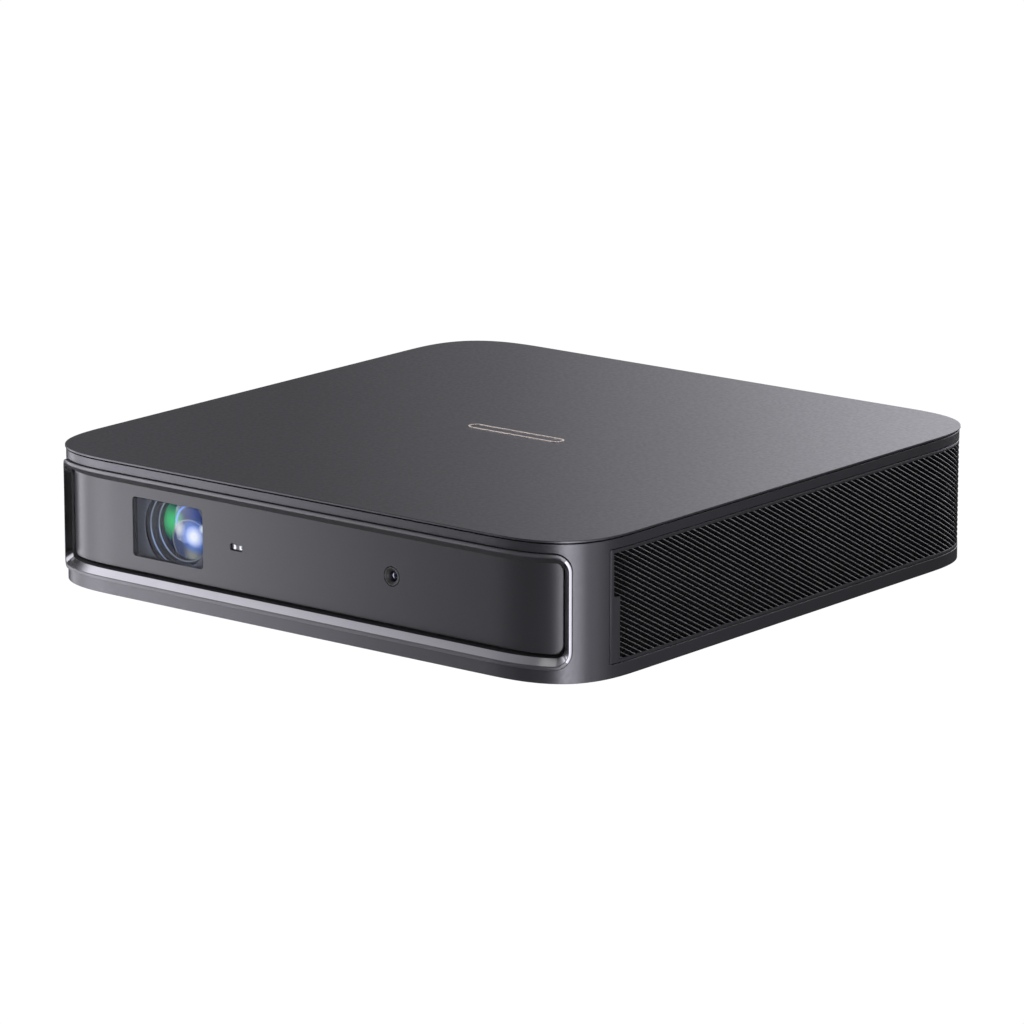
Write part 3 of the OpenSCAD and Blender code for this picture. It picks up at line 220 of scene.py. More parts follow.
def rounded_rect(cx, cz, half_w, half_h, r, arc=8, sides=None):
    """A counter-clockwise loop with rounded corners.

    sides is how many steps the upright and the level sides take."""
    r = max(r, SMALLEST_R)
    loop = []
    for sx, sz, turn in ((1, -1, -90), (1, 1, 0), (-1, 1, 90), (-1, -1, 180)):
        for i in range(arc + 1):
            a = math.radians(turn + 90 * i / arc)
            loop.append((cx + sx * (half_w - r) + r * math.cos(a),
                         cz + sz * (half_h - r) + r * math.sin(a)))
    if not sides:
        return loop
    full = []
    for i, a in enumerate(loop):
        b = loop[(i + 1) % len(loop)]
        n = sides[(i // (arc + 1)) % 2] if i % (arc + 1) == arc else 1
        full += [(a[0] + (b[0] - a[0]) * k / n, a[1] + (b[1] - a[1]) * k / n) for k in range(n)]
    return full


def circle(cx, cz, r, n=48):
    turns = [2 * math.pi * i / n for i in range(n)]
    return [(cx + r * math.cos(a), cz + r * math.sin(a)) for a in turns]


def segment_normals(loop):
    """Outward normal of each segment of a counter-clockwise loop."""
    return [Vector((b[1] - a[1], a[0] - b[0])).normalized()
            for a, b in zip(loop, loop[1:] + loop[:1])]


def offset_loop(loop, distance):
    """The loop moved outwards, with mitred corners."""
    normals = segment_normals(loop)
    moved = []
    for i, p in enumerate(loop):
        a, b = normals[i - 1], normals[i]
        n = (a + b) / (1 + a.dot(b))
        moved.append((p[0] + n.x * distance, p[1] + n.y * distance))
    return moved


ROUND_COSINE = 0.85             # segments that turn less than this are one round edge


def flat_plate(outer, holes, front, back, bevel):
    """A plate in (u, z, out) with a rounded front edge on its outline and its holes.

    Gives its points, its faces and a normal for each face corner."""
    verts, faces, normals = [], [], []
    rings = []
    edge = ((bevel, 0.0, 0.0), (0.3 * bevel, 0.3 * bevel, 0.5), (0.0, bevel, 1.0))
    for loop in [outer] + [h[::-1] for h in holes]:
        segs = segment_normals(loop)
        n = len(loop)
        ring_set = []
        for distance, drop, lean in edge:
            ring = offset_loop(loop, -distance)
            ring_set.append((len(verts), lean))
            verts += [(p[0], p[1], front - drop) for p in ring]
        ring_set.append((len(verts), 1.0))
        verts += [(p[0], p[1], back) for p in loop]
        for (a, lean_a), (b, lean_b) in zip(ring_set, ring_set[1:]):
            for i in range(n):
                j = (i + 1) % n
                faces.append((a + i, b + i, b + j, a + j))
                for k, lean in ((i, lean_a), (i, lean_b), (j, lean_b), (j, lean_a)):
                    near, seg = segs[k - 1] if k == i else segs[k], segs[i]
                    side = (near + seg).normalized() if near.dot(seg) > ROUND_COSINE else seg
                    normals.append(Vector((side.x * lean, side.y * lean, 1 - lean)).normalized())
        rings.append((ring_set[0][0], ring_set[-1][0], n))
    for which, up in ((0, 1), (1, -1)):
        index = [r[which] + i for r in rings for i in range(r[2])]
        loops = [[Vector((*verts[r[which] + i][:2], 0)) for i in range(r[2])] for r in rings]
        for tri in tessellate_polygon(loops):
            face = [index[t] for t in tri]
            a, b, c = (Vector(verts[k][:2]) for k in face)
            if ((b - a).cross(c - a)) * up < 0:
                face.reverse()
            faces.append(tuple(face))
            normals += [Vector((0, 0, up))] * 3
    return verts, faces, normals


def cut_plate(bm, u, way=1, trim=False):
    """Cuts the flat plate across at a place on the strip. trim drops what is past the cut."""
    bmesh.ops.bisect_plane(bm, geom=bm.verts[:] + bm.edges[:] + bm.faces[:],
                           plane_co=(u, 0, 0), plane_no=(way, 0, 0), clear_outer=trim)


def welded_at_ends(points, faces, normals):
    """The bent plate with its two ends joined and its flattened faces dropped."""
    keys, first, remap = {}, [], []
    for p in points:
        key = tuple(np.round(p / END_GRID).astype(int))
        if key not in keys:
            keys[key] = len(first)
            first.append(p)
        remap.append(keys[key])
    kept, kept_normals, start = [], [], 0
    for f in faces:
        g = [remap[i] for i in f]
        if len(set(g)) == len(g):
            kept.append(g)
            kept_normals.append(normals[start:start + len(f)])
        start += len(f)
    return first, kept, np.concatenate(kept_normals)


END_GRID = 2e-3 * MM            # points closer than this are one
TIP_SHARE = 0.3                 # how much of a plate's half rises with its tip


def wrap_plate(name, outer, holes, inset, thickness, bevel, ends=None, rise=0.0):
    """A flat plate bent round the body, its front face at the inset and its back deeper.

    ends gives two cuts that are then joined. rise brings both tips forward."""
    verts, faces, normals = flat_plate(outer, holes, -inset, -inset - thickness, bevel)
    bm = bmesh.new()
    layer = bm.loops.layers.float_vector.new("flat_normal")
    points = [bm.verts.new(v) for v in verts]
    k = 0
    for face in faces:
        made = bm.faces.new([points[i] for i in face])
        for corner in made.loops:
            corner[layer] = normals[k]
            k += 1
    low, high = min(v[0] for v in verts), max(v[0] for v in verts)
    for u in STATIONS:
        if low + MM / 2 < u < high - MM / 2:
            cut_plate(bm, u)
    if ends:
        cut_plate(bm, ends[0], -1, trim=True)
        cut_plate(bm, ends[1], 1, trim=True)
    bm.verts.index_update()
    flat = np.array([v.co for v in bm.verts])
    near_tip = np.clip((np.abs(flat[:, 0]) - (1 - TIP_SHARE) * high) / (TIP_SHARE * high), 0, 1)
    solid = wrapped(flat[:, 0], flat[:, 1], -flat[:, 2] - rise * near_tip ** 2)
    corner_vert = np.array([c.vert.index for f in bm.faces for c in f.loops])
    corner_flat = np.array([c[layer] for f in bm.faces for c in f.loops])
    normal = on_outline(flat[corner_vert, 0])[2]
    level = np.zeros(len(normal))
    out = np.c_[normal, level]
    along = np.c_[-normal[:, 1], normal[:, 0], level]
    up = np.array([[0, 0, 1.0]])
    bent = corner_flat[:, :1] * along + corner_flat[:, 1:2] * up + corner_flat[:, 2:] * out
    made = [[c.vert.index for c in f.loops] for f in bm.faces]
    bm.free()
    if ends:
        solid, made, bent = welded_at_ends(solid, made, bent)
    return new_object(name, solid, made, bent)


def plain_plate(name, outer, holes, at, thickness, bevel, facing):
    """A flat plate that faces the front or the rear, drawn in x and z."""
    verts, faces, normals = flat_plate(outer, holes, 0.0, -thickness, bevel)
    turn = 1 if facing == "front" else -1

    def put(v):
        return (turn * v[0], -turn * v[2], v[1])

    placed = [(p[0], p[1] + at, p[2]) for p in map(put, verts)]
    return new_object(name, placed, faces, [put(n) for n in normals])


ON_AXIS = 1e-9                  # a radius below this is the axis itself
WELD_GRID = 1e-3 * MM


def lathe(profile, axis_x, axis_z, steps=96):
    """Points and faces of a piece turned about an axis along Y.

    The profile gives radius and place along Y, in order round its section."""
    verts, faces = [], []
    n = len(profile)
    for k in range(steps):
        a = 2 * math.pi * k / steps
        verts += [(axis_x + r * math.cos(a), y, axis_z + r * math.sin(a))
                  for r, y in profile]
    for k in range(steps):
        for i in range(n - 1):
            a, b = k * n + i, ((k + 1) % steps) * n + i
            quad = [a, a + 1, b + 1, b]
            if profile[i][0] < ON_AXIS:
                quad = [a, a + 1, b + 1]
            elif profile[i + 1][0] < ON_AXIS:
                quad = [a, a + 1, b]
            faces.append(quad)
    return welded(verts, faces)


def welded(verts, faces):
    """The same piece with its repeated points joined."""
    keys, kept, remap = {}, [], []
    for v in verts:
        key = tuple(round(c / WELD_GRID) for c in v)
        if key not in keys:
            keys[key] = len(kept)
            kept.append(v)
        remap.append(keys[key])
    joined_faces = [tuple(dict.fromkeys(remap[i] for i in f)) for f in faces]
    return kept, [f for f in joined_faces if len(f) > 2]


def bevelled_box(lo, hi, bevel):
    """A box with small bevels, as points and faces."""
    bm = bmesh.new()
    bmesh.ops.create_cube(bm, size=1)
    for v in bm.verts:
        v.co = [(lo[i] + hi[i]) / 2 + v.co[i] * (hi[i] - lo[i]) for i in range(3)]
    bmesh.ops.bevel(bm, geom=bm.edges[:], offset=bevel, segments=2, affect="EDGES", profile=0.5)
    bm.verts.index_update()
    verts = [tuple(v.co) for v in bm.verts]
    faces = [tuple(v.index for v in f.verts) for f in bm.faces]
    bm.free()
    return verts, faces


# ---- Materials ----

class Nodes:
    """A material's node tree, with short calls for what most of the materials repeat."""

    def __init__(self, name):
        self.material = bpy.data.materials.new(name)
        self.material.use_nodes = True
        self.tree = self.material.node_tree
        self.shader = self.tree.nodes["Principled BSDF"]
        self.coords = self.add("ShaderNodeTexCoord").outputs["Object"]

    def add(self, kind, **values):
        node = self.tree.nodes.new(kind)
        for key, value in values.items():
            setattr(node, key, value)
        return node

    def link(self, a, b):
        self.tree.links.new(a, b)

    def maths(self, kind, first, second=None):
        """A value worked out from numbers or other values."""
        node = self.add("ShaderNodeMath", operation=kind)
        for socket, value in zip(node.inputs, (first, second)):
            if hasattr(value, "is_linked"):
                self.link(value, socket)
            elif value is not None:
                socket.default_value = value
        return node.outputs[0]

    def noise(self, scale, detail=3.0):
        """A noise's value, with the scale in features a metre."""
        node = self.add("ShaderNodeTexNoise")
        node.inputs["Scale"].default_value = scale
        node.inputs["Detail"].default_value = detail
        self.link(self.coords, node.inputs["Vector"])
        return node.outputs["Fac"]

    def spread(self, value, low, high, start=0.35, end=0.65):
        """A value stretched from start..end to low..high."""
        node = self.add("ShaderNodeMapRange")
        limits = {"From Min": start, "From Max": end, "To Min": low, "To Max": high}
        for key, number in limits.items():
            node.inputs[key].default_value = number
        self.link(value, node.inputs["Value"])
        return node.outputs["Result"]

    def colours(self, value, *stops):
        """A colour ramp over a value; each stop is (place, colour)."""
        ramp = self.add("ShaderNodeValToRGB")
        marks = ramp.color_ramp.elements
        while len(marks) < len(stops):
            marks.new(0.5)
        for mark, (place, colour) in zip(marks, stops):
            mark.position = place
            mark.color = (*colour, 1)
        self.link(value, ramp.inputs["Fac"])
        return ramp.outputs["Color"]

    def bump(self, value, depth):
        """A bump, with its depth in metres."""
        node = self.add("ShaderNodeBump")
        node.inputs["Distance"].default_value = depth
        self.link(value, node.inputs["Height"])
        return node.outputs["Normal"]

    def set(self, **values):
        for key, value in values.items():
            socket = self.shader.inputs[key.replace("_", " ")]
            if hasattr(value, "is_linked"):
                self.link(value, socket)
            else:
                socket.default_value = (*value, 1) if isinstance(value, tuple) else value


CLOUD_SCALE = 38                # features a metre in a surface's slight clouding


def grained(name, colour, rough, metal=0.0, grain=2600, depth=0.02, vary=0.12, rough_vary=0.06,
            ior=1.5, coat=0.0):
    """A moulded or coated surface: fine grain, slight clouding of its colour and gloss.

    grain is in features a metre and depth in millimetres."""
    m = Nodes(name)
    cloud = m.noise(CLOUD_SCALE, 4)
    dark = tuple(c * (1 - vary) for c in colour)
    light = tuple(min(c * (1 + vary), 1) for c in colour)
    fine = m.noise(grain, 2)
    m.set(Base_Color=m.colours(cloud, (0.3, dark), (0.7, light)),
          Roughness=m.spread(m.noise(grain / 6, 3), rough - rough_vary, rough + rough_vary))
    m.set(Metallic=metal, IOR=ior, Coat_Weight=coat, Normal=m.bump(fine, depth * MM))
    return m.material


def window_glass(name, tint, gloss=0.06, ior=1.5):
    """Thin clear glass: light passes, and the surface mirrors by its angle.

    The back faces don't mirror, or light inside the pane would be shut in."""
    m = Nodes(name)
    clear = m.add("ShaderNodeBsdfTransparent")
    clear.inputs["Color"].default_value = (*tint, 1)
    m.set(Base_Color=(0.02, 0.02, 0.022), IOR=ior,
          Roughness=m.spread(m.noise(300, 2), gloss * 0.7, gloss * 1.3))
    fresnel = m.add("ShaderNodeFresnel")
    fresnel.inputs["IOR"].default_value = ior
    mix = m.add("ShaderNodeMixShader")
    backfacing = m.add("ShaderNodeNewGeometry").outputs["Backfacing"]
    outside = m.maths("SUBTRACT", 1.0, backfacing)
    mirror = m.maths("MULTIPLY", m.spread(fresnel.outputs["Fac"], 0.05, 1, 0.0, 1.0), outside)
    m.link(mirror, mix.inputs["Fac"])
    m.link(clear.outputs["BSDF"], mix.inputs[1])
    m.link(m.shader.outputs["BSDF"], mix.inputs[2])
    m.link(mix.outputs["Shader"], m.tree.nodes["Material Output"].inputs["Surface"])
    return m.material


def board_surface(name):
    """Green solder mask over copper tracks."""
    m = Nodes(name)
    grid = m.add("ShaderNodeTexBrick")
    grid.inputs["Scale"].default_value = 420
    grid.inputs["Mortar Size"].default_value = 0.03
    m.link(m.coords, grid.inputs["Vector"])
    mask = m.colours(m.noise(700, 4), (0.44, (0.004, 0.05, 0.028)), (0.52, (0.01, 0.1, 0.05)))
    mix = m.add("ShaderNodeMix", data_type="RGBA")
    m.link(grid.outputs["Fac"], mix.inputs["Factor"])
    m.link(mask, mix.inputs["A"])
    mix.inputs["B"].default_value = (0.03, 0.16, 0.07, 1)
    m.set(Base_Color=mix.outputs["Result"], Roughness=m.spread(m.noise(500), 0.25, 0.4),
          Normal=m.bump(grid.outputs["Fac"], 0.03 * MM))
    return m.material


def lens_painted_glow(name, base, marks, rough=0.05, glow=0.9):
    """A lens surface with soft round reflections painted in it, which also glow.

    A mark is (x, z, inner radius, outer radius, colour), in millimetres from the lens axis.
    A negative inner radius makes a ring of the outer radius, that thick to each side."""
    m = Nodes(name)
    tint = m.add("ShaderNodeRGB").outputs[0]
    tint.default_value = (*base, 1)
    flat = m.add("ShaderNodeVectorMath", operation="MULTIPLY")
    m.link(m.coords, flat.inputs[0])
    flat.inputs[1].default_value = (1, 0, 1)
    for x, z, inner, outer, colour in marks:
        away = m.add("ShaderNodeVectorMath", operation="DISTANCE")
        m.link(flat.outputs[0], away.inputs[0])
        away.inputs[1].default_value = (LENS_X + x * MM, 0, LENS_Z + z * MM)
        reach = away.outputs["Value"]
        if inner < 0:
            gap = m.maths("ABSOLUTE", m.maths("SUBTRACT", reach, outer * MM))
            mask = m.spread(gap, 1, 0, 0, -inner * MM)
        else:
            mask = m.spread(reach, 1, 0, inner * MM, outer * MM)
        mix = m.add("ShaderNodeMix", data_type="RGBA")
        m.link(mask, mix.inputs["Factor"])
        m.link(tint, mix.inputs["A"])
        mix.inputs["B"].default_value = (*colour, 1)
        tint = mix.outputs["Result"]
    m.set(Base_Color=tint, Roughness=m.spread(m.noise(900, 2), rough * 0.8, rough * 1.2), IOR=1.6)
    # The painted colours also glow, though a lens is no lamp.
    m.set(Emission_Color=tint, Emission_Strength=glow)
    return m.material


GRAPHITE = (0.042, 0.042, 0.046)
MATERIALS = {
    "shell_graphite": grained("shell_graphite", GRAPHITE, 0.34, metal=0.5, grain=5200,
                              depth=0.006, vary=0.03, rough_vary=0.03),
    "base_black": grained("base_black", (0.018, 0.018, 0.019), 0.55, grain=3400, depth=0.03),
    "grille_black": grained("grille_black", (0.06, 0.06, 0.063), 0.34, metal=0.5, grain=4200,
                            depth=0.001, vary=0.04),
    "trim_metal": grained("trim_metal", (0.06, 0.06, 0.064), 0.36, metal=0.35, grain=900,
                          depth=0.0002, vary=0.03, rough_vary=0.03),
    "panel_gloss": grained("panel_gloss", (0.024, 0.024, 0.026), 0.32, metal=0.15, grain=6000,
                           depth=0.0005, vary=0.03, rough_vary=0.02, ior=1.39),
    "window_glass": window_glass("window_glass", (0.8, 0.82, 0.86)),
    "lens_glass": window_glass("lens_glass", (0.55, 0.68, 0.95), 0.03, 1.6),
    "rubber_black": grained("rubber_black", (0.02, 0.02, 0.02), 0.8, grain=1800, depth=0.05),
    "insert_brass": grained("insert_brass", (0.62, 0.42, 0.16), 0.3, metal=1.0, grain=2500,
                            depth=0.01),
    "badge_gold": grained("badge_gold", (0.86, 0.76, 0.68), 0.35, metal=0.6, grain=3000,
                          depth=0.004, vary=0.04),
    "inner_black": grained("inner_black", (0.012, 0.012, 0.013), 0.6, grain=2400, depth=0.04),
    "button_graphite": grained("button_graphite", (0.085, 0.085, 0.09), 0.32, metal=0.6, grain=3600,
                               depth=0.0006, vary=0.03, rough_vary=0.02),
    "light_white": grained("light_white", (0.8, 0.82, 0.85), 0.4, grain=1200,
                           depth=0.01, vary=0.02),
    "port_steel": grained("port_steel", (0.5, 0.5, 0.52), 0.3, metal=1.0, grain=3000,
                          depth=0.0008, vary=0.05, rough_vary=0.04),
    "board_green": board_surface("board_green"),
    "chip_black": grained("chip_black", (0.014, 0.014, 0.016), 0.35, grain=3000, depth=0.02),
    "alloy": grained("alloy", (0.45, 0.46, 0.48), 0.4, metal=1.0, grain=1600,
                     depth=0.003, vary=0.06),
    "copper": grained("copper", (0.66, 0.33, 0.2), 0.3, metal=1.0, grain=1800,
                      depth=0.002, vary=0.07),
    "pinion_brass": grained("pinion_brass", (0.66, 0.47, 0.2), 0.28, metal=1.0, grain=2600,
                            depth=0.01),
    "cone_black": grained("cone_black", (0.02, 0.02, 0.022), 0.7, grain=1500, depth=0.06),
    "screw_steel": grained("screw_steel", (0.32, 0.32, 0.34), 0.32, metal=1.0, grain=2600,
                           depth=0.01),
    "ribbon_amber": grained("ribbon_amber", (0.55, 0.2, 0.03), 0.3, grain=1400, depth=0.01),
    "lead_red": grained("lead_red", (0.5, 0.03, 0.02), 0.5, grain=1600, depth=0.02),
}


def dress_nodes():
    """Gives each CAD node that is shown its slot's material."""
    for part in frame["record"]["subparts"]:
        obj = nodes[part["node"]]
        material = MATERIALS[part["material_slot"]]
        if not obj.data.materials:
            obj.data.materials.append(material)
        for place in obj.material_slots:
            place.material = material


def finished(obj, body, slot, *replaced, material=None):
    """Rides the piece on its body with its material, which its slot gives unless one is passed, and
    hides the CAD nodes it stands for.
    """
    obj.data.materials.clear()
    obj.data.materials.append(material or MATERIALS[slot])
    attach(obj, body)
    if replaced:
        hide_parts(*replaced)
    return obj


# ---- Shell ----

def plan_ring(inset, z, count=360):
    """A closed ring of the body's plan at a height."""
    even = np.linspace(-LOOP / 2, LOOP / 2, count, endpoint=False)
    u = np.sort(np.r_[even, [s for s in STATIONS if -LOOP / 2 < s < LOOP / 2]])
    return wrapped(u, z, np.full(len(u), inset))


def plan_stack(name, rows):
    """A solid from rings of the body's plan, closed by a face at each end."""
    rings = [plan_ring(inset, z) for inset, z in rows]
    n = len(rings[0])
    faces = grid_faces(len(rings), n, closed_points=True)
    faces += [tuple(range(n))[::-1], tuple(range((len(rings) - 1) * n, len(rings) * n))]
    return new_object(name, np.concatenate(rings), faces, smooth_angle=15)


def add_top_plate():
    """The top cover: a thin plate on a narrower skirt, with softened edges."""
    edge = TOP_Z - 0.6 * MM
    skirt = edge - 1.4 * MM
    inner = FACE + 2.1 * MM
    low_r, high_r, soft = 0.08 * MM, 0.12 * MM, 0.035 * MM
    rows = [
        (inner + 1.2 * MM, skirt), (inner, skirt), (inner, edge), (low_r, edge), (0, edge + low_r),
        (0, TOP_Z - high_r), (soft, TOP_Z - soft), (high_r, TOP_Z)
    ]
    finished(plan_stack("top_plate", rows), "case", "shell_graphite", "top_cover")


def add_shell_band():
    """The side frame: one wrapped wall with its openings, joined in the rear post."""
    rear_u = LOOP / 2 - REAR_HALF
    vent_u = LOOP / 2 - VENT_REAR_X
    seam_u = (rear_u + vent_u) / 2
    side_u = u_at_y(VENT_FRONT)
    low, high = frame_lo.z, frame_hi.z
    start, end = seam_u - LOOP - MM, seam_u + MM
    outer = [(start, low), (end, low), (end, high), (start, high)]
    front = rounded_rect(0, (OPEN_LOW + OPEN_HIGH) / 2, FRONT_U, (OPEN_HIGH - OPEN_LOW) / 2,
                         OPEN_R, 10)
    vent_mid, vent_half = (VENT_LOW + VENT_HIGH) / 2, (VENT_HIGH - VENT_LOW) / 2
    spans = [(side_u, vent_u), (-vent_u, -side_u), (rear_u - LOOP, -rear_u)]
    holes = [front] + [
        rounded_rect((a + b) / 2, vent_mid, (b - a) / 2, vent_half, 0.35 * MM, 4)
        for a, b in spans
    ]
    band = wrap_plate("shell_band", outer, holes, FACE, 2 * MM, 0.16 * MM,
                      ends=(seam_u - LOOP, seam_u))
    finished(band, "case", "shell_graphite", "side_frame")


# ---- Front ----

TRIM_POLISH = grained("trim_polish", (0.32, 0.32, 0.33), 0.2, metal=1.0, grain=900,
                      depth=0.0001, vary=0.03, rough_vary=0.03)
# A brighter, mirror-like copy of the trim's metal for the front face of its end bars: a painted
# highlight.
TRIM_END_HIGHLIGHT = grained("trim_end_highlight", (0.13, 0.13, 0.135), 0.25, metal=1.0, grain=900,
                    depth=0.0001, vary=0.03, rough_vary=0.03)


# Distance in from the opening's edge and depth behind the frame's face, in millimetres
TRIM_PROFILE = [
    (0.08, 2.0), (0.08, -0.52), (0.2, -0.72), (0.34, -0.75), (0.98, -0.75), (1.08, -0.71),
    (1.17, -0.62), (1.22, -0.57), (2.95, 1.22), (3.0, 1.28), (3.02, 1.4), (3.02, 4.72),
    (4.9, 4.72), (4.9, 5.7), (0.08, 5.7)
]
NOSE_ROW, CHAMFER_ROW = 4, 7    # rows of the profile: the front face, and the chamfer behind it
PLAIN, POLISH, PAINTED_SHADE, END_HIGHLIGHT = range(4)       # the trim's material slots: the third is black, painted shade; the fourth a brighter copy of the metal, painted highlight


def trim_slot(row, under_bar, at_end):
    """Which material a strip of the trim takes, by its row, below the top bar and at the ends. The
    wall in the gap, the inner wall, the lip and the back, and under the top bar the chamfer, take
    black as painted shade; the front face at the ends takes a painted highlight.
    """
    if row == 0 or row > CHAMFER_ROW + 1 or (row > CHAMFER_ROW - 2 and under_bar):
        return PAINTED_SHADE
    if row == CHAMFER_ROW:
        return POLISH
    if at_end and abs(row - NOSE_ROW) < 2:
        return END_HIGHLIGHT
    return PLAIN


def add_trim():
    """The metal trim: a profile drawn round the front opening, with its lip behind the panel."""
    cz = (OPEN_LOW + OPEN_HIGH) / 2
    half_h = (OPEN_HIGH - OPEN_LOW) / 2
    points = []
    for inward, depth in TRIM_PROFILE:
        d = inward * MM
        narrow = min(d, MM) + max(d - MM, 0) * SIDE_SHARE
        loop = np.array(rounded_rect(0, cz, FRONT_U - narrow, half_h - d, OPEN_R - d * 0.8,
                                     14, (8, 140)))
        points.append(wrapped(loop[:, 0], loop[:, 1], np.full(len(loop), FACE + depth * MM)))
    n = len(points[0])
    nose_x = np.abs(points[NOSE_ROW][:, 0])
    end_x = nose_x.max() - 0.9 * MM
    faces = [(a, d, c, b) for a, b, c, d in grid_faces(len(points), n, True, True)]
    trim = new_object("trim_frame", np.concatenate(points), faces, smooth_angle=28)
    finished(trim, "case", "trim_metal", "front_trim")
    # inner_black on the trim is painted shade; the last material is a brighter copy of the metal, a
    # painted highlight.
    for material in (TRIM_POLISH, MATERIALS["inner_black"], TRIM_END_HIGHLIGHT):
        trim.data.materials.append(material)
    for face in trim.data.polygons:
        under_bar = face.center.z > cz + half_h - 3.2 * MM
        at_end = nose_x[face.index % n] > end_x
        face.material_index = trim_slot(face.index // n, under_bar, at_end)


def middle(lo, hi):
    """Middle of a box in x and z."""
    return (lo.x + hi.x) / 2, (lo.z + hi.z) / 2


def add_front_glass():
    """The gloss front panel, with holes for the window, the range sensor and the camera."""
    cz, half_h = (panel_lo.z + panel_hi.z) / 2, (panel_hi.z - panel_lo.z) / 2
    outer = rounded_rect(0, cz, FRONT_U - END_GAP, half_h, 3 * MM, 10)
    wx, wz = middle(window_lo, window_hi)
    ww, wh = (window_hi.x - window_lo.x) / 2, (window_hi.z - window_lo.z) / 2
    sensor_x, sensor_z = middle(range_lo, range_hi)
    holes = [
        rounded_rect(wx, wz, ww + FIT, wh + FIT, 1 * MM, 6),
        rounded_rect(sensor_x, sensor_z, COVER_W + FIT, COVER_H + FIT, 0.5 * MM, 6),
        circle(*middle(camera_lo, camera_hi), 2.75 * MM)
    ]
    panel = wrap_plate("front_glass", outer, holes, PANEL_IN, 1.6 * MM, 0.18 * MM, rise=1.1 * MM)
    finished(panel, "case", "panel_gloss", "front_panel")
    pane = plain_plate("window_pane", rounded_rect(wx, wz, ww, wh, 0.9 * MM, 6), [],
                       window_lo.y, 1.6 * MM, 0.15 * MM, "front")
    finished(pane, "case", "window_glass", "lens_window")


COVER_W, COVER_H = 2.1 * MM, 0.8 * MM           # half sizes of the range sensor's cover
EYE_W, EYE_H = 0.42 * MM, 0.62 * MM             # half sizes of its two bright eyes
EYE_PLACES = (-0.9 * MM, 1.25 * MM)


def add_range_sensor():
    """The range sensor: a dark cover with two bright eyes, on a block behind the panel."""
    x, z = middle(range_lo, range_hi)
    y = range_lo.y
    cover = plain_plate("range_cover", rounded_rect(x, z, COVER_W, COVER_H, 0.4 * MM, 6), [],
                        y, 1.1 * MM, 0.1 * MM, "front")
    eyes = [
        bevelled_box((x + dx - EYE_W, y - 0.06 * MM, z - EYE_H),
                     (x + dx + EYE_W, y + 0.3 * MM, z + EYE_H), 0.05 * MM)
        for dx in EYE_PLACES
    ]
    half = 2.6 * MM
    block = bevelled_box((x - half, window_hi.y, range_lo.z), (x + half, range_hi.y, range_hi.z),
                         0.1 * MM)
    finished(cover, "case", "chip_black", "range_sensor")
    finished(joined("range_block", [block]), "case", "chip_black")
    finished(joined("range_eyes", eyes), "case", "light_white")


def add_camera_eye():
    """The alignment camera: a turned ring on its holder, and a small domed lens."""
    x, z = middle(camera_lo, camera_hi)
    y = camera_lo.y
    bezel = [
        (1.5, 2.6), (2.65, 2.6), (2.65, 0.15), (2.55, 0.0), (2.3, 0.0), (2.15, 0.12),
        (1.75, 0.3), (1.6, 0.45), (1.5, 0.9), (1.5, 2.6)
    ]
    dome = [(0, 1.0), (0.5, 1.04), (1.0, 1.18), (1.35, 1.36), (1.48, 1.5), (1.48, 2.6),
            (0, 2.6), (0, 1.0)]
    ring = [(0.75, 1.02), (0.8, 0.98), (0.95, 1.08), (0.9, 1.2), (0.75, 1.02)]
    holder = bevelled_box((camera_lo.x, y + 1.6 * MM, camera_lo.z), camera_hi, 0.15 * MM)

    def turned(profile):
        return lathe([(r * MM, y + s * MM) for r, s in profile], x, z, 64)

    finished(joined("camera_ring", [turned(bezel), holder]), "case", "inner_black",
             "camera_bezel")
    finished(joined("camera_dome", [turned(dome), turned(ring)]), "case", "lens_glass",
             "camera_lens", material=CAMERA_COAT)


# ---- Projection lens behind the window ----

DOME_R, DOME_TIP, DOME_RISE = 9.38, 10.4, 1.5   # the front element, in millimetres
DOME_STEPS = 10


def add_lens():
    """The stepped barrel, two thin rings in it and the front element; all three glow, with painted
    highlights and painted reflections.

    Profiles are in millimetres: radius, and depth behind the side frame's face."""
    front = -HALF_D + FACE

    def ring(profile):
        return lathe([(r * MM, front + s * MM) for r, s in profile], LENS_X, LENS_Z, 128)

    back = (barrel_hi.y - front) / MM
    barrel = [
        (9.9, 13.4), (9.9, 10.9), (9.4, 10.6), (9.4, 10.2), (9.55, 10.05), (10.4, 10.05),
        (10.4, 9.5), (10.75, 9.4), (10.75, 8.3), (10.95, 8.1), (11.5, 8.0), (12.3, 8.0),
        (12.6, 8.3), (12.6, 26), (13.4, 26.2), (13.4, 27.4), (12.6, 27.6), (12.6, 43),
        (14.0, 43.4), (14.2, 43.6), (14.2, back), (10.6, back), (10.6, 13.4), (9.9, 13.4)
    ]
    finished(joined("lens_tube", [ring(barrel)]), "case", "inner_black", "lens_barrel",
             material=LENS_WALL_PAINTED_GLOW)
    outer = [(10.78, 8.32), (10.9, 8.1), (11.12, 8.02), (11.12, 8.24), (10.9, 8.4), (10.78, 8.32)]
    inner = [(9.42, 10.22), (9.5, 10.02), (9.75, 9.98), (9.75, 10.16), (9.42, 10.22)]
    finished(joined("lens_rings", [ring(outer), ring(inner)]), "case", "inner_black",
             material=LENS_RINGS_PAINTED_HIGHLIGHT)
    turns = [k / DOME_STEPS * 0.5 * math.pi for k in range(DOME_STEPS + 1)]
    dome = [(DOME_R * math.sin(a), DOME_TIP + DOME_RISE - DOME_RISE * math.cos(a)) for a in turns]
    element = ring(dome + [(DOME_R, 13.4), (0, 13.4), (0, DOME_TIP)])
    finished(joined("front_element", [element]), "case", "lens_glass", "front_lens",
             material=LENS_PAINTED_REFLECTIONS)


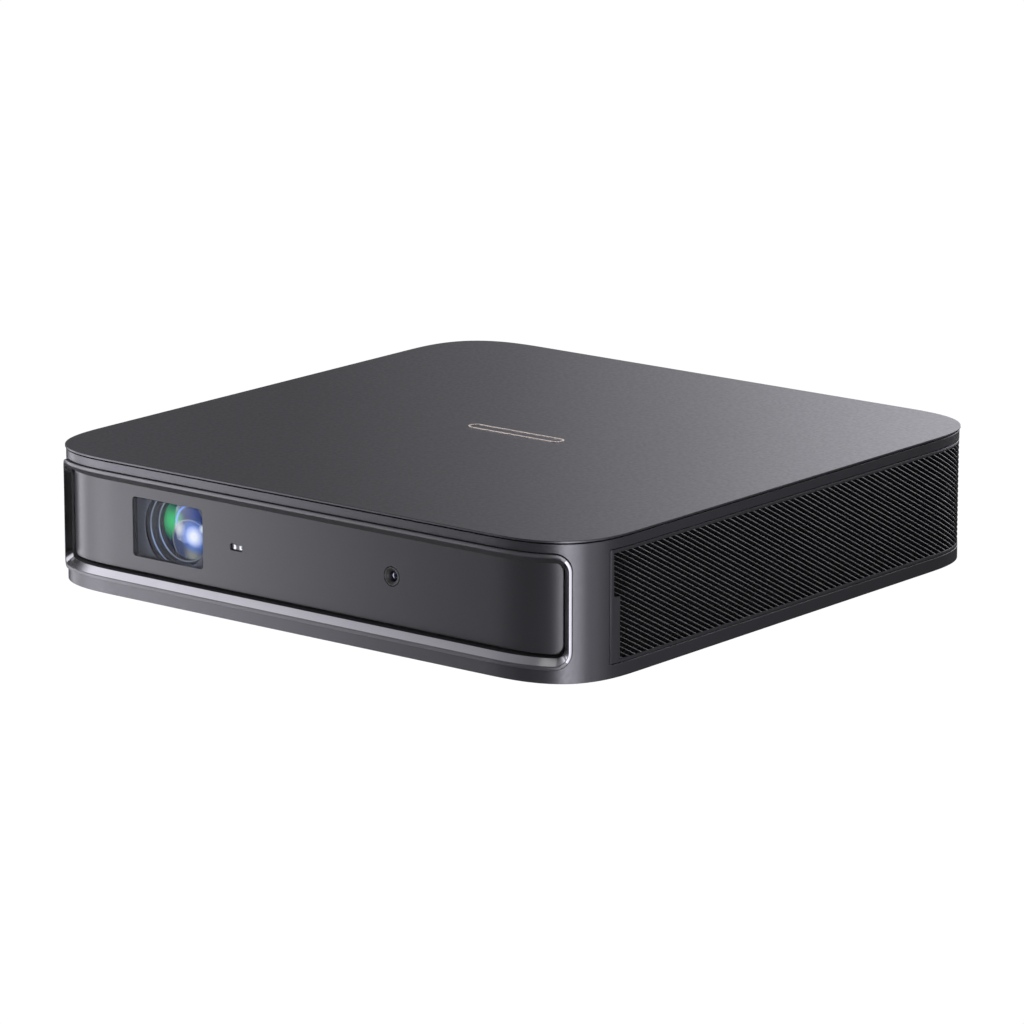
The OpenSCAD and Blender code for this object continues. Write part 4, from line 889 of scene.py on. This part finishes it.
def add_shroud():
    """A mask behind the window, with a round hole for the lens. Its pale grey is a painted
    reflection, standing in for the window's haze over a dark inside.
    """
    outer = rounded_rect(LENS_X, LENS_Z, 14.2 * MM, 13.2 * MM, 1.5 * MM, 6)
    hole = circle(LENS_X, LENS_Z, 11.5 * MM, 96)
    shroud = plain_plate("lens_shroud", outer, [hole], window_hi.y + 1.4 * MM,
                         0.4 * MM, 0.08 * MM, "front")
    finished(shroud, "case", "inner_black", material=LENS_MASK_PAINTED_HAZE)


# Painted reflections on the front element, which also glow though it is no lamp.
LENS_PAINTED_REFLECTIONS = lens_painted_glow("lens_painted_reflections", (0.012, 0.02, 0.05), [
    (-5.6, 1.0, 1.0, 5.6, (0.07, 0.62, 0.2)),       # painted green reflection on the left
    (3.6, 4.4, 0.5, 4.8, (0.02, 0.05, 0.22)),       # painted deep blue reflection at the top
    (2.4, 0.8, -0.5, 5.9, (0.16, 0.36, 0.95)),      # painted blue reflection ring
    (1.8, -4.4, 6.6, 6.85, (0.06, 0.08, 0.15)),     # painted inner element: its dark edge, then its grey reflection
    (1.8, -4.4, -0.3, 6.8, (0.3, 0.32, 0.3)),
    (-2.2, -0.6, 0.6, 2.6, (0.5, 0.5, 0.44)),       # painted pale reflections on it
    (2.0, -8.0, 0.8, 3.6, (0.3, 0.31, 0.26)),
    (3.2, -2.2, 1.4, 5.4, (0.12, 0.3, 0.9)),        # painted reflection of the bright lamp, blue round white
    (3.2, -2.2, 1.0, 3.4, (1.0, 1.0, 1.0)),
    (6.3, 0.4, 0.6, 1.5, (0.85, 0.93, 1.0))
])
# The barrel's inside glows, though it is no lamp, with a painted highlight on the left.
LENS_WALL_PAINTED_GLOW = lens_painted_glow("lens_wall_painted_glow", (0.035, 0.036, 0.04),
                         [(-12.0, 0.0, 1.0, 8.0, (0.06, 0.06, 0.068))], 0.45, 0.6)
# The two thin rings glow, though they are no lamp, with a painted pale blue highlight on the left.
LENS_RINGS_PAINTED_HIGHLIGHT = lens_painted_glow("lens_rings_painted_highlight", (0.3, 0.33, 0.38),
                         [(-9.5, -6.0, 1.0, 6.0, (0.45, 0.6, 0.95))], 0.2, 0.7)
# Pale grey: a painted reflection, the window's haze, over a dark inside.
LENS_MASK_PAINTED_HAZE = grained("lens_mask_painted_haze", (0.28, 0.28, 0.3), 0.5, grain=2400, depth=0.01)
CAMERA_COAT = grained("camera_coat", (0.01, 0.012, 0.03), 0.06, grain=900, depth=0.001,
                      ior=1.6, coat=1.0)


# ---- Vent grilles ----

RIB_DROP = 0.527                # fall of a rib for each unit along the side
RIB_PITCH = 1.43 * MM
RIB_W = 0.22 * MM
RIB_STEP = 1.6 * MM             # length of a rib between two points of its bend


def bar(points_u, points_z, half, front, depth):
    """A bar along a line on the strip, with softened front edges, as points and faces."""
    u, z = np.asarray(points_u), np.asarray(points_z)
    du, dz = u[-1] - u[0], z[-1] - z[0]
    side = np.array([-dz, du]) / math.hypot(du, dz)
    section = [(-1, depth), (-1, 0.6 * half), (-0.5, 0.0), (-0.2, 0.0), (1, 0.65 * half),
               (1, depth)]
    rows = [
        wrapped(u + side[0] * k * half, z + side[1] * k * half, np.full(len(u), front + s))
        for k, s in section
    ]
    n, m = len(u), len(section)
    faces = grid_faces(m, n, closed_rows=True)
    faces += [tuple(a * n for a in range(m)), tuple(a * n + n - 1 for a in range(m))[::-1]]
    return np.concatenate(rows).tolist(), faces


def mirrored(part, side):
    """The part itself on the right side, its mirror image on the left."""
    verts, faces = part
    if side > 0:
        return part
    return [(-v[0], v[1], v[2]) for v in verts], [tuple(reversed(f)) for f in faces]


def rib_field(u0, u1, z0, z1, way, half, front, depth):
    """Parallel slanted bars that fill a window of the strip. They fall if way is negative."""
    run = (z1 - z0) / RIB_DROP
    pitch = RIB_PITCH / RIB_DROP
    parts = []
    start = u0 - run
    for k in range(int((u1 - start) / pitch) + 1):
        a = start + k * pitch
        low, high = max(a, u0), min(a + run, u1)
        if high - low < MM:
            continue
        u = np.linspace(low, high, max(2, round((high - low) / RIB_STEP)))
        climb = (u - a) * RIB_DROP
        parts.append(bar(u, (z1 - climb) if way < 0 else (z0 + climb), half, front, depth))
    return parts


CROSS_W = 0.2 * MM
CROSS_IN = 0.5 * MM             # how far the cross ribs lie behind the side frame's face
SCREEN_IN, SCREEN_BACK = 1.2 * MM, 1.35 * MM    # the dust screen's two faces behind it


def vent_border(u0, u1, z0, z1):
    """The vent's bordered plate, with the step in its front edge, as points and faces."""
    border, wide = 1.0 * MM, 3.7 * MM
    step_u, step_z = u0 + 1.4 * MM, z0 + 18.3 * MM
    end_u = u1 - 1.6 * MM
    window = [
        (u0 + wide, z0 + border), (end_u, z0 + border), (end_u, z1 - border),
        (step_u, z1 - border), (step_u, step_z), (u0 + wide, step_z)
    ]
    outer = [(u0, z0), (u1, z0), (u1, z1), (u0, z1)]
    plate = wrap_plate("border_plate", outer, [window], FACE + 0.02 * MM, 1.0 * MM, 0.12 * MM)
    verts = [tuple(v.co) for v in plate.data.vertices]
    faces = [tuple(p.vertices) for p in plate.data.polygons]
    bpy.data.objects.remove(plate)
    return verts, faces


def dust_screen(u0, u1, z0, z1):
    """A thin cloth behind the ribs, as points and faces."""
    u = np.linspace(u0 + 0.5 * MM, u1 - 0.5 * MM, 120)
    low, high = z0 + 0.4 * MM, z1 - 0.4 * MM
    corners = ((low, SCREEN_IN), (high, SCREEN_IN), (high, SCREEN_BACK), (low, SCREEN_BACK))
    rows = [wrapped(u, z, np.full(len(u), FACE + d)) for z, d in corners]
    n = len(u)
    faces = grid_faces(len(rows), n, closed_rows=True)
    faces += [(0, n, 2 * n, 3 * n), (4 * n - 1, 3 * n - 1, 2 * n - 1, n - 1)]
    return np.concatenate(rows).tolist(), faces


def add_grille(side, tail):
    """A vent: a border, slanted ribs that show, thinner cross ribs behind and a dust screen. The
    cross ribs and the screen are near black, painted shade.
    """
    u0, u1 = u_at_y(VENT_FRONT) + SEAM, LOOP / 2 - VENT_REAR_X - SEAM
    z0, z1 = VENT_LOW + SEAM, VENT_HIGH - SEAM
    field = (u0 + 0.6 * MM, u1 - 0.6 * MM, z0 + 0.3 * MM, z1 - 0.3 * MM)
    border = vent_border(u0, u1, z0, z1)
    ribs = rib_field(*field, -1, RIB_W / 2, FACE + 0.06 * MM, 0.5 * MM)
    cross = rib_field(*field, 1, CROSS_W / 2, FACE + CROSS_IN, 0.25 * MM)

    def piece(name, parts):
        return joined(name + tail, [mirrored(part, side) for part in parts], 30)

    finished(piece("vent_ribs_", ribs), "case", "grille_black", "vent_grille_" + tail)
    finished(piece("vent_border_", [border]), "case", "shell_graphite")
    # Near black on the cross ribs: painted shade.
    finished(piece("cross_ribs_", cross), "case", "inner_black", material=SCREEN_PAINTED_SHADE)
    screen = joined("dust_screen_" + tail, [mirrored(dust_screen(u0, u1, z0, z1), side)])
    finished(screen, "case", "inner_black", material=SCREEN_PAINTED_SHADE)


def painted_shade_cloth():
    """A fine woven dust screen, near black: painted shade for the dark behind the ribs. The weave
    is its own pattern.
    """
    m = Nodes("screen_weave_painted_shade")
    weave = m.add("ShaderNodeTexChecker")
    weave.inputs["Scale"].default_value = 2600
    m.link(m.coords, weave.inputs["Vector"])
    threads = weave.outputs["Fac"]
    m.set(Base_Color=m.colours(threads, (0.0, (0.002, 0.002, 0.002)), (1.0, (0.003, 0.003, 0.003))),
          Roughness=m.spread(m.noise(800), 0.8, 0.95))
    m.set(Normal=m.bump(threads, 0.02 * MM), Specular_IOR_Level=0.1)
    return m.material


SCREEN_PAINTED_SHADE = painted_shade_cloth()


# ---- Rear ----

PORT_FIT = 0.3 * MM
ROUND_HOLES = {"audio_jack": 3.1 * MM, "dc_inlet": 4.3 * MM, "power_button": 5.0 * MM,
               "status_light": 1.3 * MM}


def port_hole(name):
    """The cut-out for a socket shell, drawn as the rear is seen."""
    lo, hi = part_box(name)
    x, z = middle(lo, hi)
    return rounded_rect(-x, z, (hi.x - lo.x) / 2 + PORT_FIT, (hi.z - lo.z) / 2 + PORT_FIT,
                        0.8 * MM, 5)


def round_hole(name):
    """The cut-out for a round piece. The light sits at the button's height."""
    x, z = middle(*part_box(name))
    if name == "status_light":
        z = middle(*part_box("power_button"))[1]
    return circle(-x, z, ROUND_HOLES[name])


def add_rear():
    """The rear panel with its cut-outs. The sockets in them are the CAD's own."""
    outer = rounded_rect(0, (rear_lo.z + rear_hi.z) / 2, rear_hi.x, (rear_hi.z - rear_lo.z) / 2,
                         0.3 * MM, 4)
    holes = [port_hole(name) for name in ("video_port", "data_port")]
    holes += [round_hole(name) for name in ROUND_HOLES]
    panel = plain_plate("rear_plate", outer, holes, rear_hi.y, rear_hi.y - rear_lo.y,
                        0.14 * MM, "rear")
    finished(panel, "case", "base_black", "rear_panel")


# ---- Studio ----

FLOOR_GLOW = 1.02
FLOOR_REACH = 30                            # metres each way
WORLD_FILL = 0.045                          # light of the surround, which the camera sees as 1
LAMP_TINT = (0.94, 0.925, 1.0)
AWAY = Vector((-0.61, 0.757, 0.0))          # level direction that the top mirrors to the camera
AHEAD = Vector((-0.61, -0.757, -0.237))     # direction that the front mirrors to the camera
ACROSS = Vector((0.779, 0.628, 0.0))        # the picture's level axis
FRONT_MIDDLE = Vector((0, -0.0975, 0.028))
UPRIGHT = (0, 0, 1)


def area_light(name, at, target, size, power):
    """A soft lamp that faces its target and is hidden from the camera."""
    data = bpy.data.lights.new(name, "AREA")
    data.shape = "RECTANGLE"
    data.size, data.size_y = size
    data.energy = power
    obj = bpy.data.objects.new(name, data)
    obj.location = at
    obj.rotation_euler = (Vector(target) - Vector(at)).to_track_quat("-Z", "Y").to_euler()
    obj.visible_camera = False
    scene.collection.objects.link(obj)


def graded_card(name, at, across, up, size, *stops):
    """A glowing card whose light changes across it, hidden from the camera.

    Each stop is (place from 0 to 1, strength)."""
    across, up = Vector(across).normalized(), Vector(up).normalized()
    w, h = size[0] / 2, size[1] / 2
    ends = ((-1, -1), (1, -1), (1, 1), (-1, 1))
    corners = [Vector(at) + across * (w * i) + up * (h * j) for i, j in ends]
    card = new_object(name, corners, [(0, 1, 2, 3)])
    m = Nodes(name + "_glow")
    along = m.add("ShaderNodeVectorMath", operation="DOT_PRODUCT")
    m.link(m.coords, along.inputs[0])
    along.inputs[1].default_value = across
    middle_at = Vector(at).dot(across)
    peak = max(strength for _, strength in stops)
    shades = [(place, tuple(strength / peak * c for c in LAMP_TINT)) for place, strength in stops]
    share = m.spread(along.outputs["Value"], 0, 1, middle_at - w, middle_at + w)
    m.set(Base_Color=(0.0, 0.0, 0.0), Specular_IOR_Level=0.0,
          Emission_Color=m.colours(share, *shades), Emission_Strength=peak)
    card.data.materials.append(m.material)
    card.visible_camera = False
    card.visible_shadow = False


def add_floor():
    """A pale floor that glows evenly, so no shadow shows on it.

    It is left out of the light on the object, so that cards can stand below it."""
    r = FLOOR_REACH
    floor = joined("floor", [([(-r, -r, 0), (r, -r, 0), (r, r, 0), (-r, r, 0)], [(0, 1, 2, 3)])])
    m = Nodes("floor_pale")
    pale = m.colours(m.noise(0.6, 2), (0.3, (0.99, 0.99, 0.99)), (0.7, (1.0, 1.0, 1.0)))
    m.set(Base_Color=(0.0, 0.0, 0.0), Roughness=0.9, Specular_IOR_Level=0.0,
          Emission_Color=pale, Emission_Strength=FLOOR_GLOW)
    floor.data.materials.append(m.material)
    floor.visible_diffuse = False
    floor.visible_glossy = False
    floor.visible_shadow = False


def add_world():
    """White to the camera, and nearly dark to everything else."""
    world = bpy.data.worlds.new("studio")
    scene.world = world
    world.use_nodes = True
    tree = world.node_tree
    back = tree.nodes["Background"]
    back.inputs["Color"].default_value = (1, 1, 1, 1)
    path = tree.nodes.new("ShaderNodeLightPath")
    level = tree.nodes.new("ShaderNodeMapRange")
    level.inputs["To Min"].default_value = WORLD_FILL
    level.inputs["To Max"].default_value = 1.0
    tree.links.new(path.outputs["Is Camera Ray"], level.inputs["Value"])
    tree.links.new(level.outputs["Result"], back.inputs["Strength"])


def add_studio():
    """Cards where the top, front, sides and ribs mirror them to the camera, and two lamps."""
    add_floor()
    add_world()
    graded_card("card_behind", AWAY * 0.26 + Vector((0, 0, 0.2)), ACROSS, UPRIGHT, (0.6, 0.4),
                (0.0, 0.24), (0.38, 0.22), (0.5, 0.42), (0.6, 0.85), (0.72, 1.7), (1.0, 2.8))
    graded_card("card_ahead", FRONT_MIDDLE + AHEAD * 0.3, (0.757, -0.61, 0), UPRIGHT, (0.5, 0.36),
                (0.0, 1.0), (0.2, 5.0), (0.3, 8.5), (0.37, 6.6), (0.43, 3.2), (0.49, 1.0),
                (0.55, 0.2), (0.62, 0.0), (1.0, 0.0))
    graded_card("card_over", (-0.16, -0.16, 0.22), (1, 0, 0), (0, 1, 0), (0.4, 0.2),
                (0.0, 2.5), (0.3, 2.2), (0.5, 1.2), (0.7, 0.6), (1.0, 0.4))
    graded_card("card_corner", (0.42, -0.31, -0.02), (0.5, 0.866, 0), UPRIGHT, (0.34, 0.3),
                (0.0, 7.0), (0.36, 12.0), (0.58, 7.0), (0.8, 6.5), (1.0, 4.5))
    graded_card("card_right", (0.508, 0.03, 0.0), (0.22, 0.97, 0), UPRIGHT, (0.24, 0.3),
                (0.0, 2.4), (1.0, 0.3))
    graded_card("card_left", (-0.42, -0.16, 0.02), (0.3, -0.95, 0), UPRIGHT, (0.24, 0.3),
                (0.0, 4.0), (1.0, 4.0))
    graded_card("card_ribs", (0.18, 0.49, 0.11), (1, 0, 0), UPRIGHT, (0.3, 0.2),
                (0.0, 4.0), (1.0, 4.0))
    area_light("rear_soft", (0.1, 0.9, 0.55), (0, 0, 0.02), (0.7, 0.5), 6)
    area_light("overhead", (0.0, 0.0, 1.4), (0, 0, 0), (1.2, 1.2), 4)


dress_nodes()
add_top_plate()
add_shell_band()
add_trim()
add_front_glass()
add_range_sensor()
add_camera_eye()
add_lens()
add_shroud()
add_grille(1, "right")
add_grille(-1, "left")
add_rear()
add_studio()
scene.view_settings.view_transform = "Standard"
